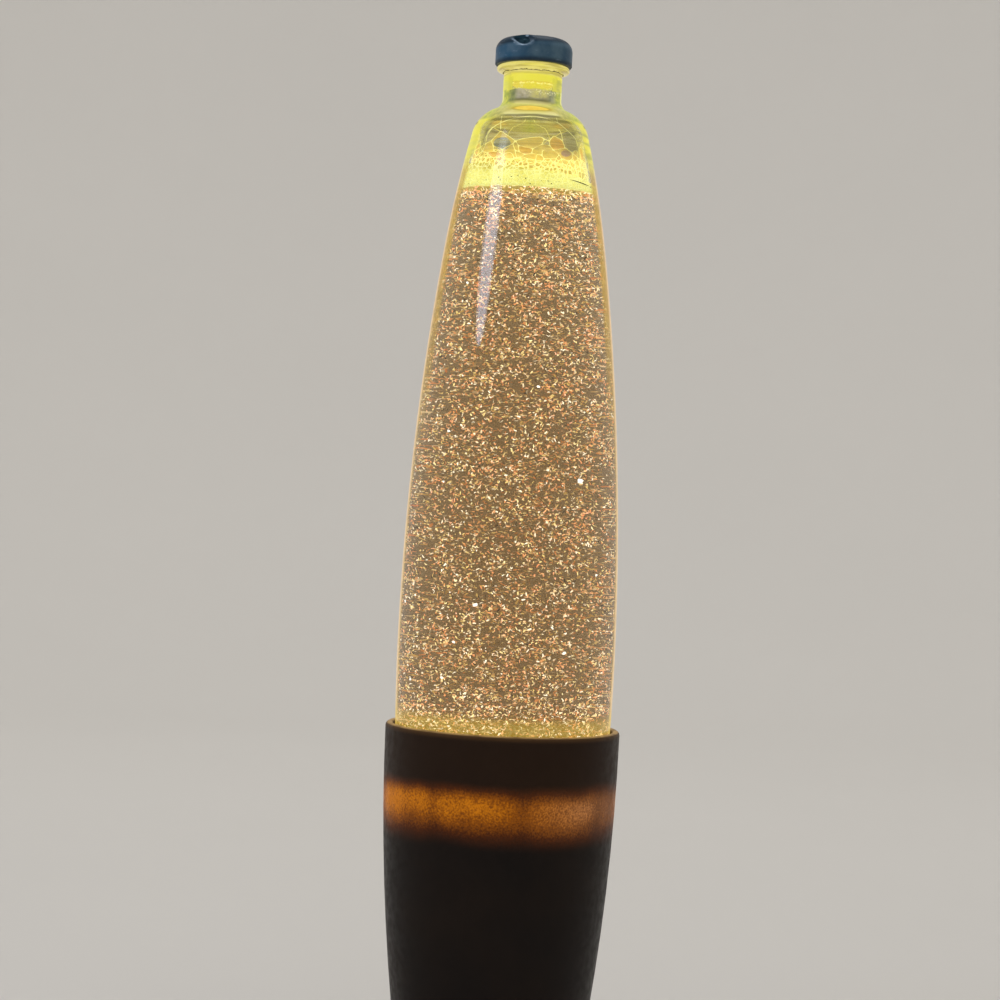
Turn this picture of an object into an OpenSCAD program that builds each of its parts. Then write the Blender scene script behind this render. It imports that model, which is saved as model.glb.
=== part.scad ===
// Glitter motion lamp: a sealed glass bottle of liquid, foam and floating
// flakes stands on the ribs of a tapered moulded base, over a lamp bulb.
// Millimetres, +Z up, origin on the axis at the foot, front towards -Y.
// Heights of the bottle's own features are counted from its bearing ring.

/* [Bottle] */
// Largest outside radius, at the belly
belly_r = 44.74; // [44:0.1:46]
// Height of the belly
belly_h = 57; // [52:1:62]
// Height of the long side curve above the belly
side_len = 165; // [158:1:171]
// Height of the tighter curve between the long side and the shoulder
upper_len = 46.8; // [44:0.2:50]
// Radius of the side curve below the belly
low_curve_r = 900; // [800:10:1200]
// Radius of the long side curve above the belly
side_curve_r = 1163; // [1120:1:1220]
// Radius of the side curve under the shoulder
upper_curve_r = 465; // [440:5:500]
// Radius of the rounded shoulder
shoulder_curve_r = 13.8; // [13:0.1:15.4]
// Radius of the hollow curve between shoulder and neck
neck_curve_r = 4.9; // [4:0.1:6]
// Outside radius of the neck
neck_r = 12.05; // [11.5:0.05:12.6]
// Radius of the outer heel
heel_curve_r = 6; // [5:0.25:8]
// Radius of the inner heel
inner_heel_r = 5; // [4:0.25:7]
// Thickness of the glass side
glass_wall = 2.6; // [2:0.1:3]
// Thickness of the glass bottom
glass_floor = 4; // [3:0.1:5]
// Width of the flat bearing ring
bearing_w = 2.5; // [2:0.1:4]
// Rise of the pushed-up bottom at the axis
push_up = 4.5; // [3:0.1:6]

/* [Closure] */
// Length of the straight neck up to the glass bead below the cap
neck_len = 11.16; // [9:0.02:13]
// Thickness of the bead
bead_t = 2.5; // [2:0.1:3]
// How far the bead stands out from the neck
bead_out = 2.9; // [2.4:0.1:3.2]
// Radius of the hollow curve under the bead
bead_fillet_r = 1; // [0.6:0.1:1.4]
// Outside radius of the cap
cap_r = 15.8; // [15.4:0.1:16.5]
// Height of the cap
cap_h = 12.1; // [11:0.1:13.5]
// Radius of the cap's top edge
cap_round_r = 5; // [3.5:0.1:5.4]
// Radius of the cap's slightly domed top
cap_dome_r = 60; // [50:1:90]
// Thickness of the cap's skirt
cap_wall = 2.5; // [2.2:0.1:2.8]
// Thickness of the cap's top
cap_top_t = 2.5; // [2.2:0.1:3]
// Thickness of the liner under the cap
liner_t = 0.8; // [0.5:0.1:1.2]
// Thickness of the stopper's flange
flange_t = 1; // [0.8:0.1:1.4]
// Length of the stopper's plug below the lip
plug_len = 16.4; // [12:0.1:18]
// Chamfer at the end of the plug
plug_chamfer = 1.2; // [0.5:0.1:2]

/* [Contents] */
// Depth of the liquid's surface below the turn of the shoulder
head_space = 22.8; // [17:0.2:34]
// Thickness of the dense foam on the liquid
foam_t = 9; // [6:0.5:11]
// Radius of the large bubbles that stand on the foam
bubble_r = 4.4; // [3.6:0.1:4.6]
// Number of floating flakes
flake_count = 150; // [60:10:200]
// Radius of a flake across its corners
flake_r = 1.1; // [0.8:0.1:1.4]
// Thickness of a flake
flake_t = 0.15; // [0.1:0.01:0.25]

/* [Base] */
// Depth of the bottle's seat below the rim
seat_depth = 26; // [22:0.5:30]
// Radius of the rolled lip's section
lip_r = 1.7; // [1.5:0.1:2]
// Gap between the lip and the bottle
lip_gap = 0.5; // [0.4:0.05:0.8]
// Radius of the side curve, upright at the rim
base_curve_r = 890; // [820:10:1100]
// Thickness of the base's wall
base_wall = 2.4; // [2:0.1:2.8]
// Rounding of the base's bottom edge
edge_r = 1; // [0.6:0.1:1.4]

/* [Ribs] */
// Number of ribs inside the base
rib_count = 8; // [6:1:10]
// Thickness of a rib
rib_t = 1.6; // [1.2:0.1:2.4]
// How far a rib stands in from the wall
rib_depth = 5; // [4:0.25:6]
// Length of a rib below the seat
rib_len = 54; // [40:1:60]
// How far the seat reaches inside the bearing ring
seat_reach = 1.3; // [0.8:0.1:3]
// Height of the seat's upright end
seat_t = 4; // [3:0.5:6]
// Angle of the first rib from the front
rib_turn = 11.5; // [0:0.5:20]

/* [Bottom] */
// Thickness of the foot ring
foot_t = 1.8; // [1.5:0.1:3]
// Width of the foot ring
foot_w = 10; // [9.8:0.1:10.2]
// Thickness of the bottom cover
cover_t = 2.8; // [2.6:0.1:3.4]
// Land between a screw's recess and the cover's edge
cover_land = 0.7; // [0.5:0.1:1]
// Radius of a screw boss in the base
boss_r = 4; // [3.6:0.1:4.4]
// Length of a screw boss
boss_len = 16; // [14:1:20]
// Number of vent slots
vent_count = 10; // [8:2:12]
// Width of a vent slot
vent_w = 2.6; // [2:0.1:3]
// Length of a vent slot
vent_len = 5.4; // [4.6:0.2:5.6]
// Radius of a cover screw's shank
screw_r = 1.35; // [1.2:0.05:1.5]
// Length of a cover screw's shank
screw_len = 12; // [10:1:13]
// Radius of a cover screw's head
head_r = 2.8; // [2.6:0.1:2.9]
// Thickness of a cover screw's head
head_t = 1.7; // [1.4:0.1:1.8]

/* [Bulb] */
// Space between the top of the bulb and the seat
bulb_gap = 9; // [7:0.5:12]
// Length of the bulb from its contact to its top
bulb_len = 89; // [87:0.5:91]
// Radius of the bulb's globe
bulb_r = 24; // [22:0.5:25]
// Radius of the bulb's glass neck
bulb_neck_r = 12.4; // [12:0.1:12.5]
// Radius of the hollow curve between neck and globe
bulb_curve_r = 40; // [36:1:44]
// Thickness of the bulb's glass
bulb_glass_t = 0.7; // [0.5:0.05:1]
// Radius of the bulb's screw cap
bulb_cap_r = 13.1; // [12.9:0.05:13.2]
// Height of the screw cap's top edge above the contact
bulb_cap_top = 25; // [24:0.5:27]
// Height of the screw cap's lower edge above the contact
bulb_cap_low = 7; // [6:0.25:8]
// Radius of the bent filament
filament_r = 9; // [7:0.5:10]

/* [Socket] */
// Gap between the bulb's cap and the socket's screw shell
thread_gap = 0.4; // [0.3:0.05:0.6]
// Thickness of the socket's metal sheet
sheet_t = 0.5; // [0.4:0.05:0.6]
// Radius of the socket's barrel
socket_r = 18.5; // [18:0.25:19.5]
// Radius of the sleeve above the barrel
sleeve_r = 16.6; // [16.4:0.1:17]
// Height at which the socket stands above the bottom cover
socket_stand = 11; // [10:0.5:16]
// Thickness of the socket's floor
socket_floor = 8; // [7:0.5:9]
// Height of the barrel
barrel_h = 31; // [29:0.5:33]
// Height of the sleeve
sleeve_h = 12; // [10:0.5:13]
// Outside radius of the threaded tube that carries the socket
tube_r = 4.9; // [4.7:0.05:5.2]
// Thickness of the bracket's sheet
bracket_t = 1.2; // [1:0.1:1.5]
// Width of the bracket
bracket_w = 14; // [13:0.5:15]
// Half the length of the bracket's top
bracket_top = 11; // [10:0.25:11.5]
// Half the length of the whole bracket
bracket_span = 18.6; // [18:0.2:19]

/* [Heat shield] */
// Depth of the shield's rim below the seat
shield_drop = 21; // [18:0.5:26]
// Thickness of the shield's sheet
shield_t = 0.8; // [0.6:0.05:1]
// Gap between the shield's rim and the ribs
shield_gap = 1; // [0.8:0.1:2]
// Radius of the shield's curved side
shield_curve_r = 130; // [110:5:200]

/* [Cord outlet] */
// Height of the outlet above the table
outlet_h = 15; // [13:0.5:18]
// Radius of the grommet's bore
cord_r = 2.6; // [2:0.1:3]
// Radius of the hole in the wall
outlet_r = 4.3; // [4.2:0.1:4.8]

/* [Hidden] */
$fn = 96;

// Clearance between a piece and the piece that it lies against
fit = 0.1;
// Clearance between the bottle and its seat, and between bulb and contact
rest_gap = 0.2;
// Largest distance of a drawn chord from its true curve
chord_error = 0.04;
// Small clearance of a round piece in its hole
hole_fit = 0.05;

// Points of an arc about c from angle a0 to a1, as fine as chord_error asks
function arc(c, r, a0, a1) =
    let (n = max(1, ceil(abs(a1 - a0) / 2 / acos(1 - min(0.5, chord_error / abs(r))))))
    [for (i = [0:n]) let (a = a0 + (a1 - a0) * i / n) c + r * [cos(a), sin(a)]];
function reversed(list) = [for (i = [len(list) - 1:-1:0]) list[i]];
function polar(r, a) = [r * cos(a), r * sin(a)];
function direction(v) = atan2(v.y, v.x);
// The upper crossing of two circles whose centres lie side by side
function crossing(c0, r0, c1, r1) =
    let (d = c1 - c0, l = norm(d), a = (r0 * r0 - r1 * r1 + l * l) / 2 / l)
    c0 + a * d / l + sqrt(r0 * r0 - a * a) * [-d.y, d.x] / l;

// Side of the bottle: arcs that meet at a shared tangent, given by their
// centres and by the angles between which they run
side_h = belly_h + side_len;
shoulder_h = side_h + upper_len;
low_c = [belly_r - low_curve_r, belly_h];
low_a = asin(-(belly_h - heel_curve_r) / (low_curve_r - heel_curve_r));
heel_c = low_c + polar(low_curve_r - heel_curve_r, low_a);
side_c = [belly_r - side_curve_r, belly_h];
side_a = asin((side_h - belly_h) / side_curve_r);
upper_c = side_c + polar(side_curve_r - upper_curve_r, side_a);
upper_a = asin(sin(side_a) + (shoulder_h - side_h) / upper_curve_r);
shoulder_c = upper_c + polar(upper_curve_r - shoulder_curve_r, upper_a);
shoulder_a = acos((neck_r + neck_curve_r - shoulder_c.x) / (shoulder_curve_r + neck_curve_r));
neck_c = shoulder_c + polar(shoulder_curve_r + neck_curve_r, shoulder_a);

// Outside radius of the bottle at a height below the shoulder
function bottle_r(h) =
    let (arc_c = h < belly_h ? low_c : h < side_h ? side_c : upper_c)
    let (arc_r = h < belly_h ? low_curve_r : h < side_h ? side_curve_r : upper_curve_r)
    arc_c.x + sqrt(arc_r * arc_r - (h - arc_c.y) * (h - arc_c.y));

// The side from its low arc's angle a up to the neck, moved inwards by inset
function side_points(a, inset) = concat(
    arc(low_c, low_curve_r - inset, a, 0),
    arc(side_c, side_curve_r - inset, 0, side_a),
    arc(upper_c, upper_curve_r - inset, side_a, upper_a),
    arc(shoulder_c, shoulder_curve_r - inset, upper_a, shoulder_a),
    arc(neck_c, neck_curve_r + inset, shoulder_a + 180, 180)
);

// Pushed-up bottom: a shallow dome inside the bearing ring
dome_edge_r = heel_c.x - bearing_w;
dome_r = (dome_edge_r * dome_edge_r + push_up * push_up) / 2 / push_up;
dome_c = [0, push_up - dome_r];
// Inner heel: a fillet that touches the bottom and the side
inner_heel_c = crossing(low_c, low_curve_r - glass_wall - inner_heel_r,
    dome_c, dome_r + glass_floor + inner_heel_r);
floor_a = direction(inner_heel_c - dome_c);
inner_low_a = direction(inner_heel_c - low_c);

// Inner face of the bottle from the axis up to the neck, moved in by inset
function inner_points(inset) = concat(
    arc(dome_c, dome_r + glass_floor + inset, 90, floor_a),
    arc(inner_heel_c, inner_heel_r - inset, floor_a - 180, inner_low_a),
    side_points(inner_low_a, glass_wall + inset)
);

level_h = shoulder_h - head_space;

// Closure
bore_r = neck_r - glass_wall;
bead_h = neck_c.y + neck_len;
bead_c = [neck_r + bead_out - bead_t / 2, bead_h + bead_t / 2];
cap_z = bead_h + bead_t + fit;
cap_inner_r = cap_r - cap_wall;
cap_inner_h = cap_h - cap_top_t;
lip_h = cap_z + cap_inner_h - liner_t - flange_t;
lip_edge_r = 1;
finish_r = cap_inner_r - 2 * fit;
finish_low_r = finish_r - 1;
finish_step = 2.2;

// Places along the axis, from the foot up to the rim
cover_top = foot_t + cover_t;
socket_z = cover_top + socket_stand;
floor_z = socket_z + socket_floor;
contact_h = 2.2;
bulb_z = floor_z + contact_h + rest_gap;
globe_z = bulb_z + bulb_len - bulb_r;
seat_z = bulb_z + bulb_len + bulb_gap;
bottle_z = seat_z + rest_gap;
base_h = seat_z + seat_depth;
rim_r = bottle_r(seat_depth) + lip_gap + 2 * lip_r;
shoulder_z = socket_z + barrel_h;
socket_top = shoulder_z + sleeve_h;
shield_z = seat_z - shield_drop;

// Radius of the base at a height, measured inset mm inside its outer face
function base_r(z, inset) =
    rim_r - base_curve_r
    + sqrt((base_curve_r - inset) * (base_curve_r - inset) - (base_h - z) * (base_h - z));
function base_a(z) = -asin((base_h - z) / base_curve_r);
base_c = [rim_r - base_curve_r, base_h];
lip_c = [rim_r - lip_r, base_h - lip_r];
lip_blend = 3;

// Socket and bulb sizes that follow the thread
shell_inner_r = bulb_cap_r + thread_gap;
cavity_r = shell_inner_r + sheet_t + fit;
tube_bore_r = 3.4;
tube_grip = 5.5;
nut_t = 3;
tube_low = socket_z - bracket_t - nut_t - 1;

module revolve(points) {
    rotate_extrude() polygon(points);
}

// A round bar between two points
module bar(p, q, r) {
    d = q - p;
    translate(p)
        rotate([0, acos(d.z / norm(d)), atan2(d.y, d.x)])
            cylinder(h = norm(d), r = r, $fn = 24);
}

// The space inside the bottle, kept inset mm away from the glass
module bottle_space(inset) {
    points = inner_points(inset);
    neck = points[len(points) - 1];
    revolve(concat(points, [[neck.x, lip_h], [0, lip_h]]));
}

module glass_bottle() {
    outer = concat(
        arc(dome_c, dome_r, 90, direction([dome_edge_r, 0] - dome_c)),
        arc(heel_c, heel_curve_r, -90, low_a),
        side_points(low_a, 0)
    );
    bead = concat(
        arc([neck_r + bead_fillet_r, bead_h - bead_fillet_r], bead_fillet_r, 180, 90),
        arc(bead_c, bead_t / 2, -90, 90)
    );
    finish = concat(
        [[finish_low_r, bead_h + bead_t], [finish_low_r, lip_h - 2 * finish_step]],
        [[finish_r, lip_h - finish_step]],
        arc([finish_r - lip_edge_r, lip_h - lip_edge_r], lip_edge_r, 0, 90)
    );
    color([0.93, 0.92, 0.74, 0.45])
        translate([0, 0, bottle_z])
            revolve(concat(
                outer, bead, finish,
                [[bore_r, lip_h]], reversed(inner_points(0))
            ));
}

module liquid_fill() {
    color([0.86, 0.70, 0.36, 0.5])
        translate([0, 0, bottle_z])
            intersection() {
                bottle_space(fit);
                cylinder(h = level_h, r = belly_r);
            }
}

// Rings of large bubbles on a layer of fine foam: their count, the ring's
// radius, and their size as a share of a bubble's radius
bubble_rings = [[1, 0, 1.2], [6, 9.6, 1.05], [12, 18.4, 0.95]];

module foam_head() {
    top = level_h + foam_t;
    narrowing = bottle_r(top) / bottle_r(level_h);
    color([0.98, 0.86, 0.36, 0.9])
        translate([0, 0, bottle_z]) {
            intersection() {
                bottle_space(fit);
                translate([0, 0, level_h + hole_fit]) cylinder(h = foam_t, r = belly_r);
            }
            for (ring = bubble_rings)
                for (i = [0:ring[0] - 1])
                    rotate([0, 0, (i + ring[2] / 3) * 360 / ring[0]])
                        translate([ring[1] * narrowing, 0, top])
                            sphere(r = bubble_r * ring[2], $fn = 24);
        }
}

// Flakes are spread evenly by the golden angle, each tilted a little
golden_turn = 137.508;
flake_margin = 4;

module glitter_flakes() {
    low = push_up + glass_floor + flake_margin;
    high = level_h - flake_margin;
    color([0.80, 0.52, 0.16])
        for (i = [0:flake_count - 1]) {
            h = low + (high - low) * (i + 0.5) / flake_count;
            spread = sqrt((i * 0.618034) % 1);
            reach = (bottle_r(h) - glass_wall - flake_margin) * spread;
            translate([0, 0, bottle_z + h])
                rotate([0, 0, i * golden_turn])
                    translate([reach, 0, 0])
                        rotate([28 * sin(i * 73), 28 * cos(i * 51), 0])
                            cylinder(h = flake_t, r = flake_r, $fn = 6);
        }
}

module neck_stopper() {
    plug_r = bore_r - fit;
    end_h = lip_h - plug_len;
    color([0.96, 0.83, 0.22])
        translate([0, 0, bottle_z])
            revolve([
                [0, end_h], [plug_r - plug_chamfer, end_h], [plug_r, end_h + plug_chamfer],
                [plug_r, lip_h + hole_fit], [finish_r, lip_h + hole_fit],
                [finish_r, lip_h + flange_t], [0, lip_h + flange_t]
            ]);
}

module cap_liner() {
    color("ivory")
        translate([0, 0, bottle_z + lip_h + flange_t])
            cylinder(h = liner_t, r = finish_r);
}

module bottle_cap() {
    skirt_r = 0.6;
    dome_low = cap_h - cap_dome_r;
    edge_x = cap_r - cap_round_r;
    edge_z = dome_low + sqrt(pow(cap_dome_r - cap_round_r, 2) - edge_x * edge_x);
    turn_a = direction([edge_x, edge_z - dome_low]);
    color([0.07, 0.13, 0.25])
        translate([0, 0, bottle_z + cap_z])
            revolve(concat(
                [[cap_inner_r, 0]],
                arc([cap_r - skirt_r, skirt_r], skirt_r, -90, 0),
                arc([edge_x, edge_z], cap_round_r, 0, turn_a),
                arc([0, dome_low], cap_dome_r, turn_a, 90),
                [[0, cap_inner_h], [cap_inner_r, cap_inner_h]]
            ));
}

// A rib or web: its outer edge lies inside the wall from z0 up to z1, and
// its inner edge follows the given points from the top down
module fin(turn, t, z0, z1, inner) {
    steps = 8;
    edge = [for (i = [0:steps]) let (z = z0 + (z1 - z0) * i / steps) [base_r(z, base_wall / 2), z]];
    rotate([90, 0, turn])
        translate([0, 0, -t / 2])
            linear_extrude(t) polygon(concat(edge, inner));
}

module base_wall_solid() {
    inner_top = base_h - lip_r - lip_blend;
    outer_low = [base_r(foot_t + edge_r, 0), foot_t + edge_r];
    revolve(concat(
        arc([outer_low.x - edge_r, outer_low.y], edge_r, -90, 0),
        arc(base_c, base_curve_r, base_a(foot_t + edge_r), base_a(lip_c.y)),
        arc(lip_c, lip_r, 0, 180),
        [[lip_c.x - lip_r, lip_c.y - lip_r]],
        reversed([for (i = [0:10]) let (z = foot_t + (inner_top - foot_t) * i / 10)
            [base_r(z, base_wall), z]])
    ));
}

// Cover screws stand where their sunk heads leave a land at the cover's edge
cover_r = base_r(foot_t, base_wall) - 2 * fit;
sink_r = head_r + 3 * fit;
sink_depth = head_t + 2 * fit;
boss_ring_r = cover_r - cover_land - sink_r;
boss_turns = [-90, 30, 150];
outlet_c = base_c + polar(base_curve_r, base_a(outlet_h));

// Puts children on the outer face at the outlet, with +Z along its normal
module at_outlet() {
    translate([0, outlet_c.x, outlet_c.y]) rotate([base_a(outlet_h) - 90, 0, 0]) children();
}

module base_shell() {
    seat_in_r = dome_edge_r - seat_reach;
    guide_r = rim_r - 2 * lip_r;
    gusset_z = seat_z - seat_t - (base_r(seat_z, base_wall) - rib_depth - seat_in_r);
    rib_low = seat_z - rib_len;
    boss_top = cover_top + boss_len;
    color([0.16, 0.10, 0.08])
        difference() {
            union() {
                base_wall_solid();
                for (i = [0:rib_count - 1])
                    fin(i * 360 / rib_count + rib_turn - 90, rib_t, rib_low, base_h - 2 * lip_r, [
                        [guide_r, base_h - 2 * lip_r], [guide_r, seat_z],
                        [seat_in_r, seat_z], [seat_in_r, seat_z - seat_t],
                        [base_r(gusset_z, base_wall) - rib_depth, gusset_z],
                        [base_r(rib_low, base_wall) - rib_depth, rib_low + rib_depth]
                    ]);
                for (turn = boss_turns) {
                    rotate([0, 0, turn])
                        translate([boss_ring_r, 0, cover_top])
                            cylinder(h = boss_len, r = boss_r, $fn = 48);
                    fin(turn, rib_t, cover_top, boss_top, [[boss_ring_r, boss_top], [boss_ring_r, cover_top]]);
                }
            }
            for (turn = boss_turns)
                rotate([0, 0, turn])
                    translate([boss_ring_r, 0, cover_top - 1])
                        cylinder(h = screw_len + 2, r = screw_r + fit, $fn = 32);
            at_outlet() translate([0, 0, -2 * base_wall])
                cylinder(h = 4 * base_wall, r = outlet_r, $fn = 48);
        }
}

shield_hole_r = sleeve_r + fit;
shield_shelf = 2.5;
shield_flat_r = socket_r + shield_shelf;
shield_rim_r = base_r(shield_z, base_wall) - rib_depth - shield_gap;
shield_roll_r = 1;

module heat_shield() {
    low = [shield_flat_r, shield_t];
    high = [shield_rim_r - shield_roll_r, shield_z - shoulder_z];
    centre = crossing(low, shield_curve_r, high, shield_curve_r);
    side = arc(centre, shield_curve_r, direction(low - centre), direction(high - centre));
    back = arc(centre, shield_curve_r + shield_t, direction(high - centre), direction(low - centre));
    color("silver")
        translate([0, 0, shoulder_z]) {
            revolve(concat(
                [[shield_hole_r, shield_t]], side, back,
                [[shield_flat_r, 0], [shield_hole_r, 0]]
            ));
            translate([0, 0, high.y])
                rotate_extrude() translate([high.x + shield_roll_r / 2, 0]) circle(r = shield_roll_r, $fn = 24);
        }
}

ring_h = 4.2;
ring_step = 1.4;
ring_out_r = socket_r + ring_step;
ring_grips = 18;
grip_r = 1;
grip_shift = 0.5;

module shield_ring() {
    color("dimgray")
        translate([0, 0, shoulder_z + shield_t])
            difference() {
                cylinder(h = ring_h, r = ring_out_r);
                translate([0, 0, -ring_h / 2]) cylinder(h = 2 * ring_h, r = shield_hole_r);
                for (i = [0:ring_grips - 1])
                    rotate([0, 0, i * 360 / ring_grips])
                        translate([ring_out_r + grip_shift, 0, grip_r])
                            cylinder(h = ring_h, r = grip_r, $fn = 16);
            }
}

pocket_w = 11;
pocket_h = 9;
pocket_depth = 3.2;
pocket_sill = 1;
pocket_z = socket_z + pocket_sill;
lead_hole_r = 1.6;
terminal_t = 0.8;
terminal_screw_r = 1.4;
terminal_screw_len = 4;
terminal_head_r = 2.7;
terminal_head_t = 1.6;
terminal_drop = 0.5;
terminal_screw_z = pocket_z + pocket_h / 2 - terminal_drop;
terminal_face = socket_r - pocket_depth;

module socket_body() {
    color("whitesmoke")
        difference() {
            union() {
                translate([0, 0, socket_z]) cylinder(h = barrel_h, r = socket_r);
                translate([0, 0, shoulder_z]) cylinder(h = sleeve_h, r = sleeve_r);
            }
            translate([0, 0, floor_z]) cylinder(h = socket_top, r = cavity_r);
            translate([0, 0, socket_z - 1]) cylinder(h = tube_grip + 1 + fit, r = tube_r + hole_fit);
            // Way for the leads from the tube to both pockets
            translate([0, 0, socket_z + tube_grip / 2])
                rotate([90, 0, 0])
                    cylinder(h = 2 * socket_r, r = lead_hole_r, center = true, $fn = 24);
            for (turn = [0, 180])
                rotate([0, 0, turn]) {
                    translate([-pocket_w / 2, terminal_face, pocket_z])
                        cube([pocket_w, 2 * pocket_depth, pocket_h]);
                    translate([0, terminal_face + 1, terminal_screw_z])
                        rotate([90, 0, 0])
                            cylinder(h = terminal_screw_len + 2, r = terminal_screw_r + hole_fit, $fn = 24);
                }
        }
}

module socket_shell() {
    shell_low = floor_z + 2 * sheet_t;
    shell_h = bulb_z + bulb_cap_top - shell_low;
    tab_r = bulb_cap_r - 2.4;
    color([0.78, 0.64, 0.34])
        translate([0, 0, shell_low])
            revolve([
                [tab_r, 0], [cavity_r - fit, 0], [cavity_r - fit, shell_h],
                [shell_inner_r, shell_h], [shell_inner_r, sheet_t], [tab_r, sheet_t]
            ]);
}

module socket_contact() {
    strip_w = 6;
    strip_len = 9;
    tongue = 4;
    color([0.80, 0.62, 0.30])
        translate([strip_w / 2, 0, floor_z])
            rotate([90, 0, -90])
                linear_extrude(strip_w)
                    polygon([
                        [-strip_len, 0], [strip_len - tongue, 0], [strip_len - tongue, sheet_t],
                        [sheet_t - tongue, sheet_t], [tongue / 2, contact_h - sheet_t],
                        [tongue, contact_h - sheet_t], [tongue, contact_h],
                        [0, contact_h], [-tongue - sheet_t, sheet_t], [-strip_len, sheet_t]
                    ]);
}

module terminal_plates() {
    color([0.80, 0.66, 0.32])
        for (turn = [0, 180])
            rotate([0, 0, turn])
                difference() {
                    translate([1 - pocket_w / 2, terminal_face, pocket_z + fit])
                        cube([pocket_w - 2, terminal_t, pocket_h - 2 * fit]);
                    translate([0, terminal_face + 2 * terminal_t, terminal_screw_z])
                        rotate([90, 0, 0])
                            cylinder(h = 3 * terminal_t, r = terminal_screw_r + hole_fit, $fn = 24);
                }
}

module terminal_screws() {
    color([0.85, 0.85, 0.83])
        for (turn = [0, 180])
            rotate([0, 0, turn])
                translate([0, terminal_face + terminal_t, terminal_screw_z])
                    rotate([-90, 0, 0]) {
                        slotted_head(terminal_head_r, terminal_head_t);
                        translate([0, 0, -terminal_screw_len])
                            cylinder(h = terminal_screw_len, r = terminal_screw_r, $fn = 24);
                    }
}

// A cheese head with a driver slot, standing on z = 0
module slotted_head(r, t) {
    difference() {
        cylinder(h = t, r = r, $fn = 36);
        translate([-r - 1, -r / 7, t - r / 4]) cube([2 * r + 2, 2 * r / 7, r]);
    }
}

// A round head with a cross recess, standing on z = 0
module cross_head(r, t) {
    difference() {
        union() {
            cylinder(h = t / 2, r = r, $fn = 36);
            translate([0, 0, t / 2]) cylinder(h = t / 2, r1 = r, r2 = 0.7 * r, $fn = 36);
        }
        for (turn = [0, 90])
            rotate([0, 0, turn])
                translate([-r / 2, -r / 9, t / 2]) cube([r, 2 * r / 9, t]);
    }
}

module socket_tube() {
    tube_h = socket_z + tube_grip - tube_low;
    color([0.75, 0.75, 0.72])
        translate([0, 0, tube_low])
            difference() {
                cylinder(h = tube_h, r = tube_r);
                translate([0, 0, -1]) cylinder(h = tube_h + 2, r = tube_bore_r);
                translate([0, 0, tube_h - tube_grip / 2])
                    rotate([90, 0, 0])
                        cylinder(h = 4 * tube_r, r = lead_hole_r, center = true, $fn = 24);
            }
}

module tube_locknut() {
    color([0.75, 0.75, 0.72])
        translate([0, 0, socket_z - bracket_t - nut_t])
            difference() {
                cylinder(h = nut_t, r = 1.62 * tube_r, $fn = 6);
                translate([0, 0, -1]) cylinder(h = nut_t + 2, r = tube_r + hole_fit);
            }
}

post_x = (bracket_top + bracket_span) / 2;
post_r = 3.2;
post_h = 3.4;
post_z = cover_top + post_h;
bracket_screw_len = 5;

module socket_bracket() {
    top = socket_z - bracket_t;
    color([0.62, 0.64, 0.66])
        difference() {
            union() {
                translate([-bracket_top, -bracket_w / 2, top])
                    cube([2 * bracket_top, bracket_w, bracket_t]);
                for (turn = [0, 180])
                    rotate([0, 0, turn]) {
                        translate([bracket_top - bracket_t, -bracket_w / 2, post_z])
                            cube([bracket_t, bracket_w, socket_z - post_z]);
                        translate([bracket_top - bracket_t, -bracket_w / 2, post_z])
                            cube([bracket_span - bracket_top + bracket_t, bracket_w, bracket_t]);
                    }
            }
            translate([0, 0, top - 1]) cylinder(h = bracket_t + 2, r = tube_r + hole_fit);
            for (x = [-post_x, post_x])
                translate([x, 0, post_z - 1]) cylinder(h = bracket_t + 2, r = screw_r + hole_fit, $fn = 32);
        }
}

module bracket_screws() {
    color([0.72, 0.72, 0.70])
        for (x = [-post_x, post_x])
            translate([x, 0, post_z + bracket_t]) {
                cross_head(0.85 * head_r, head_t);
                translate([0, 0, -bracket_t - bracket_screw_len])
                    cylinder(h = bracket_t + bracket_screw_len, r = screw_r, $fn = 32);
            }
}

vent_edge = 0.8;
vent_in_r = bracket_span + vent_edge;

module bottom_cover() {
    color([0.10, 0.09, 0.09])
        difference() {
            union() {
                translate([0, 0, foot_t]) cylinder(h = cover_t, r = cover_r);
                for (x = [-post_x, post_x])
                    translate([x, 0, cover_top]) cylinder(h = post_h, r = post_r, $fn = 48);
            }
            for (turn = boss_turns)
                rotate([0, 0, turn])
                    translate([boss_ring_r, 0, 0]) {
                        cylinder(h = foot_t + sink_depth, r = sink_r, $fn = 48);
                        cylinder(h = 2 * cover_top, r = screw_r + hole_fit, $fn = 32);
                    }
            for (x = [-post_x, post_x])
                translate([x, 0, post_z - bracket_screw_len - fit])
                    cylinder(h = 2 * bracket_screw_len, r = screw_r + hole_fit, $fn = 32);
            for (i = [0:vent_count - 1])
                rotate([0, 0, i * 360 / vent_count])
                    translate([vent_in_r + vent_w / 2, 0, 0])
                        vent_slot();
        }
}

// A round-ended slot that runs outwards from the origin
module vent_slot() {
    run = vent_len - vent_w;
    cylinder(h = 2 * cover_top, r = vent_w / 2, $fn = 24);
    translate([run, 0, 0]) cylinder(h = 2 * cover_top, r = vent_w / 2, $fn = 24);
    translate([0, -vent_w / 2, 0]) cube([run, vent_w, 2 * cover_top]);
}

module cover_screws() {
    color([0.72, 0.72, 0.70])
        for (turn = boss_turns)
            rotate([0, 0, turn])
                translate([boss_ring_r, 0, foot_t + sink_depth]) {
                    rotate([180, 0, 0]) cross_head(head_r, head_t);
                    cylinder(h = screw_len, r = screw_r, $fn = 32);
                }
}

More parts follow.
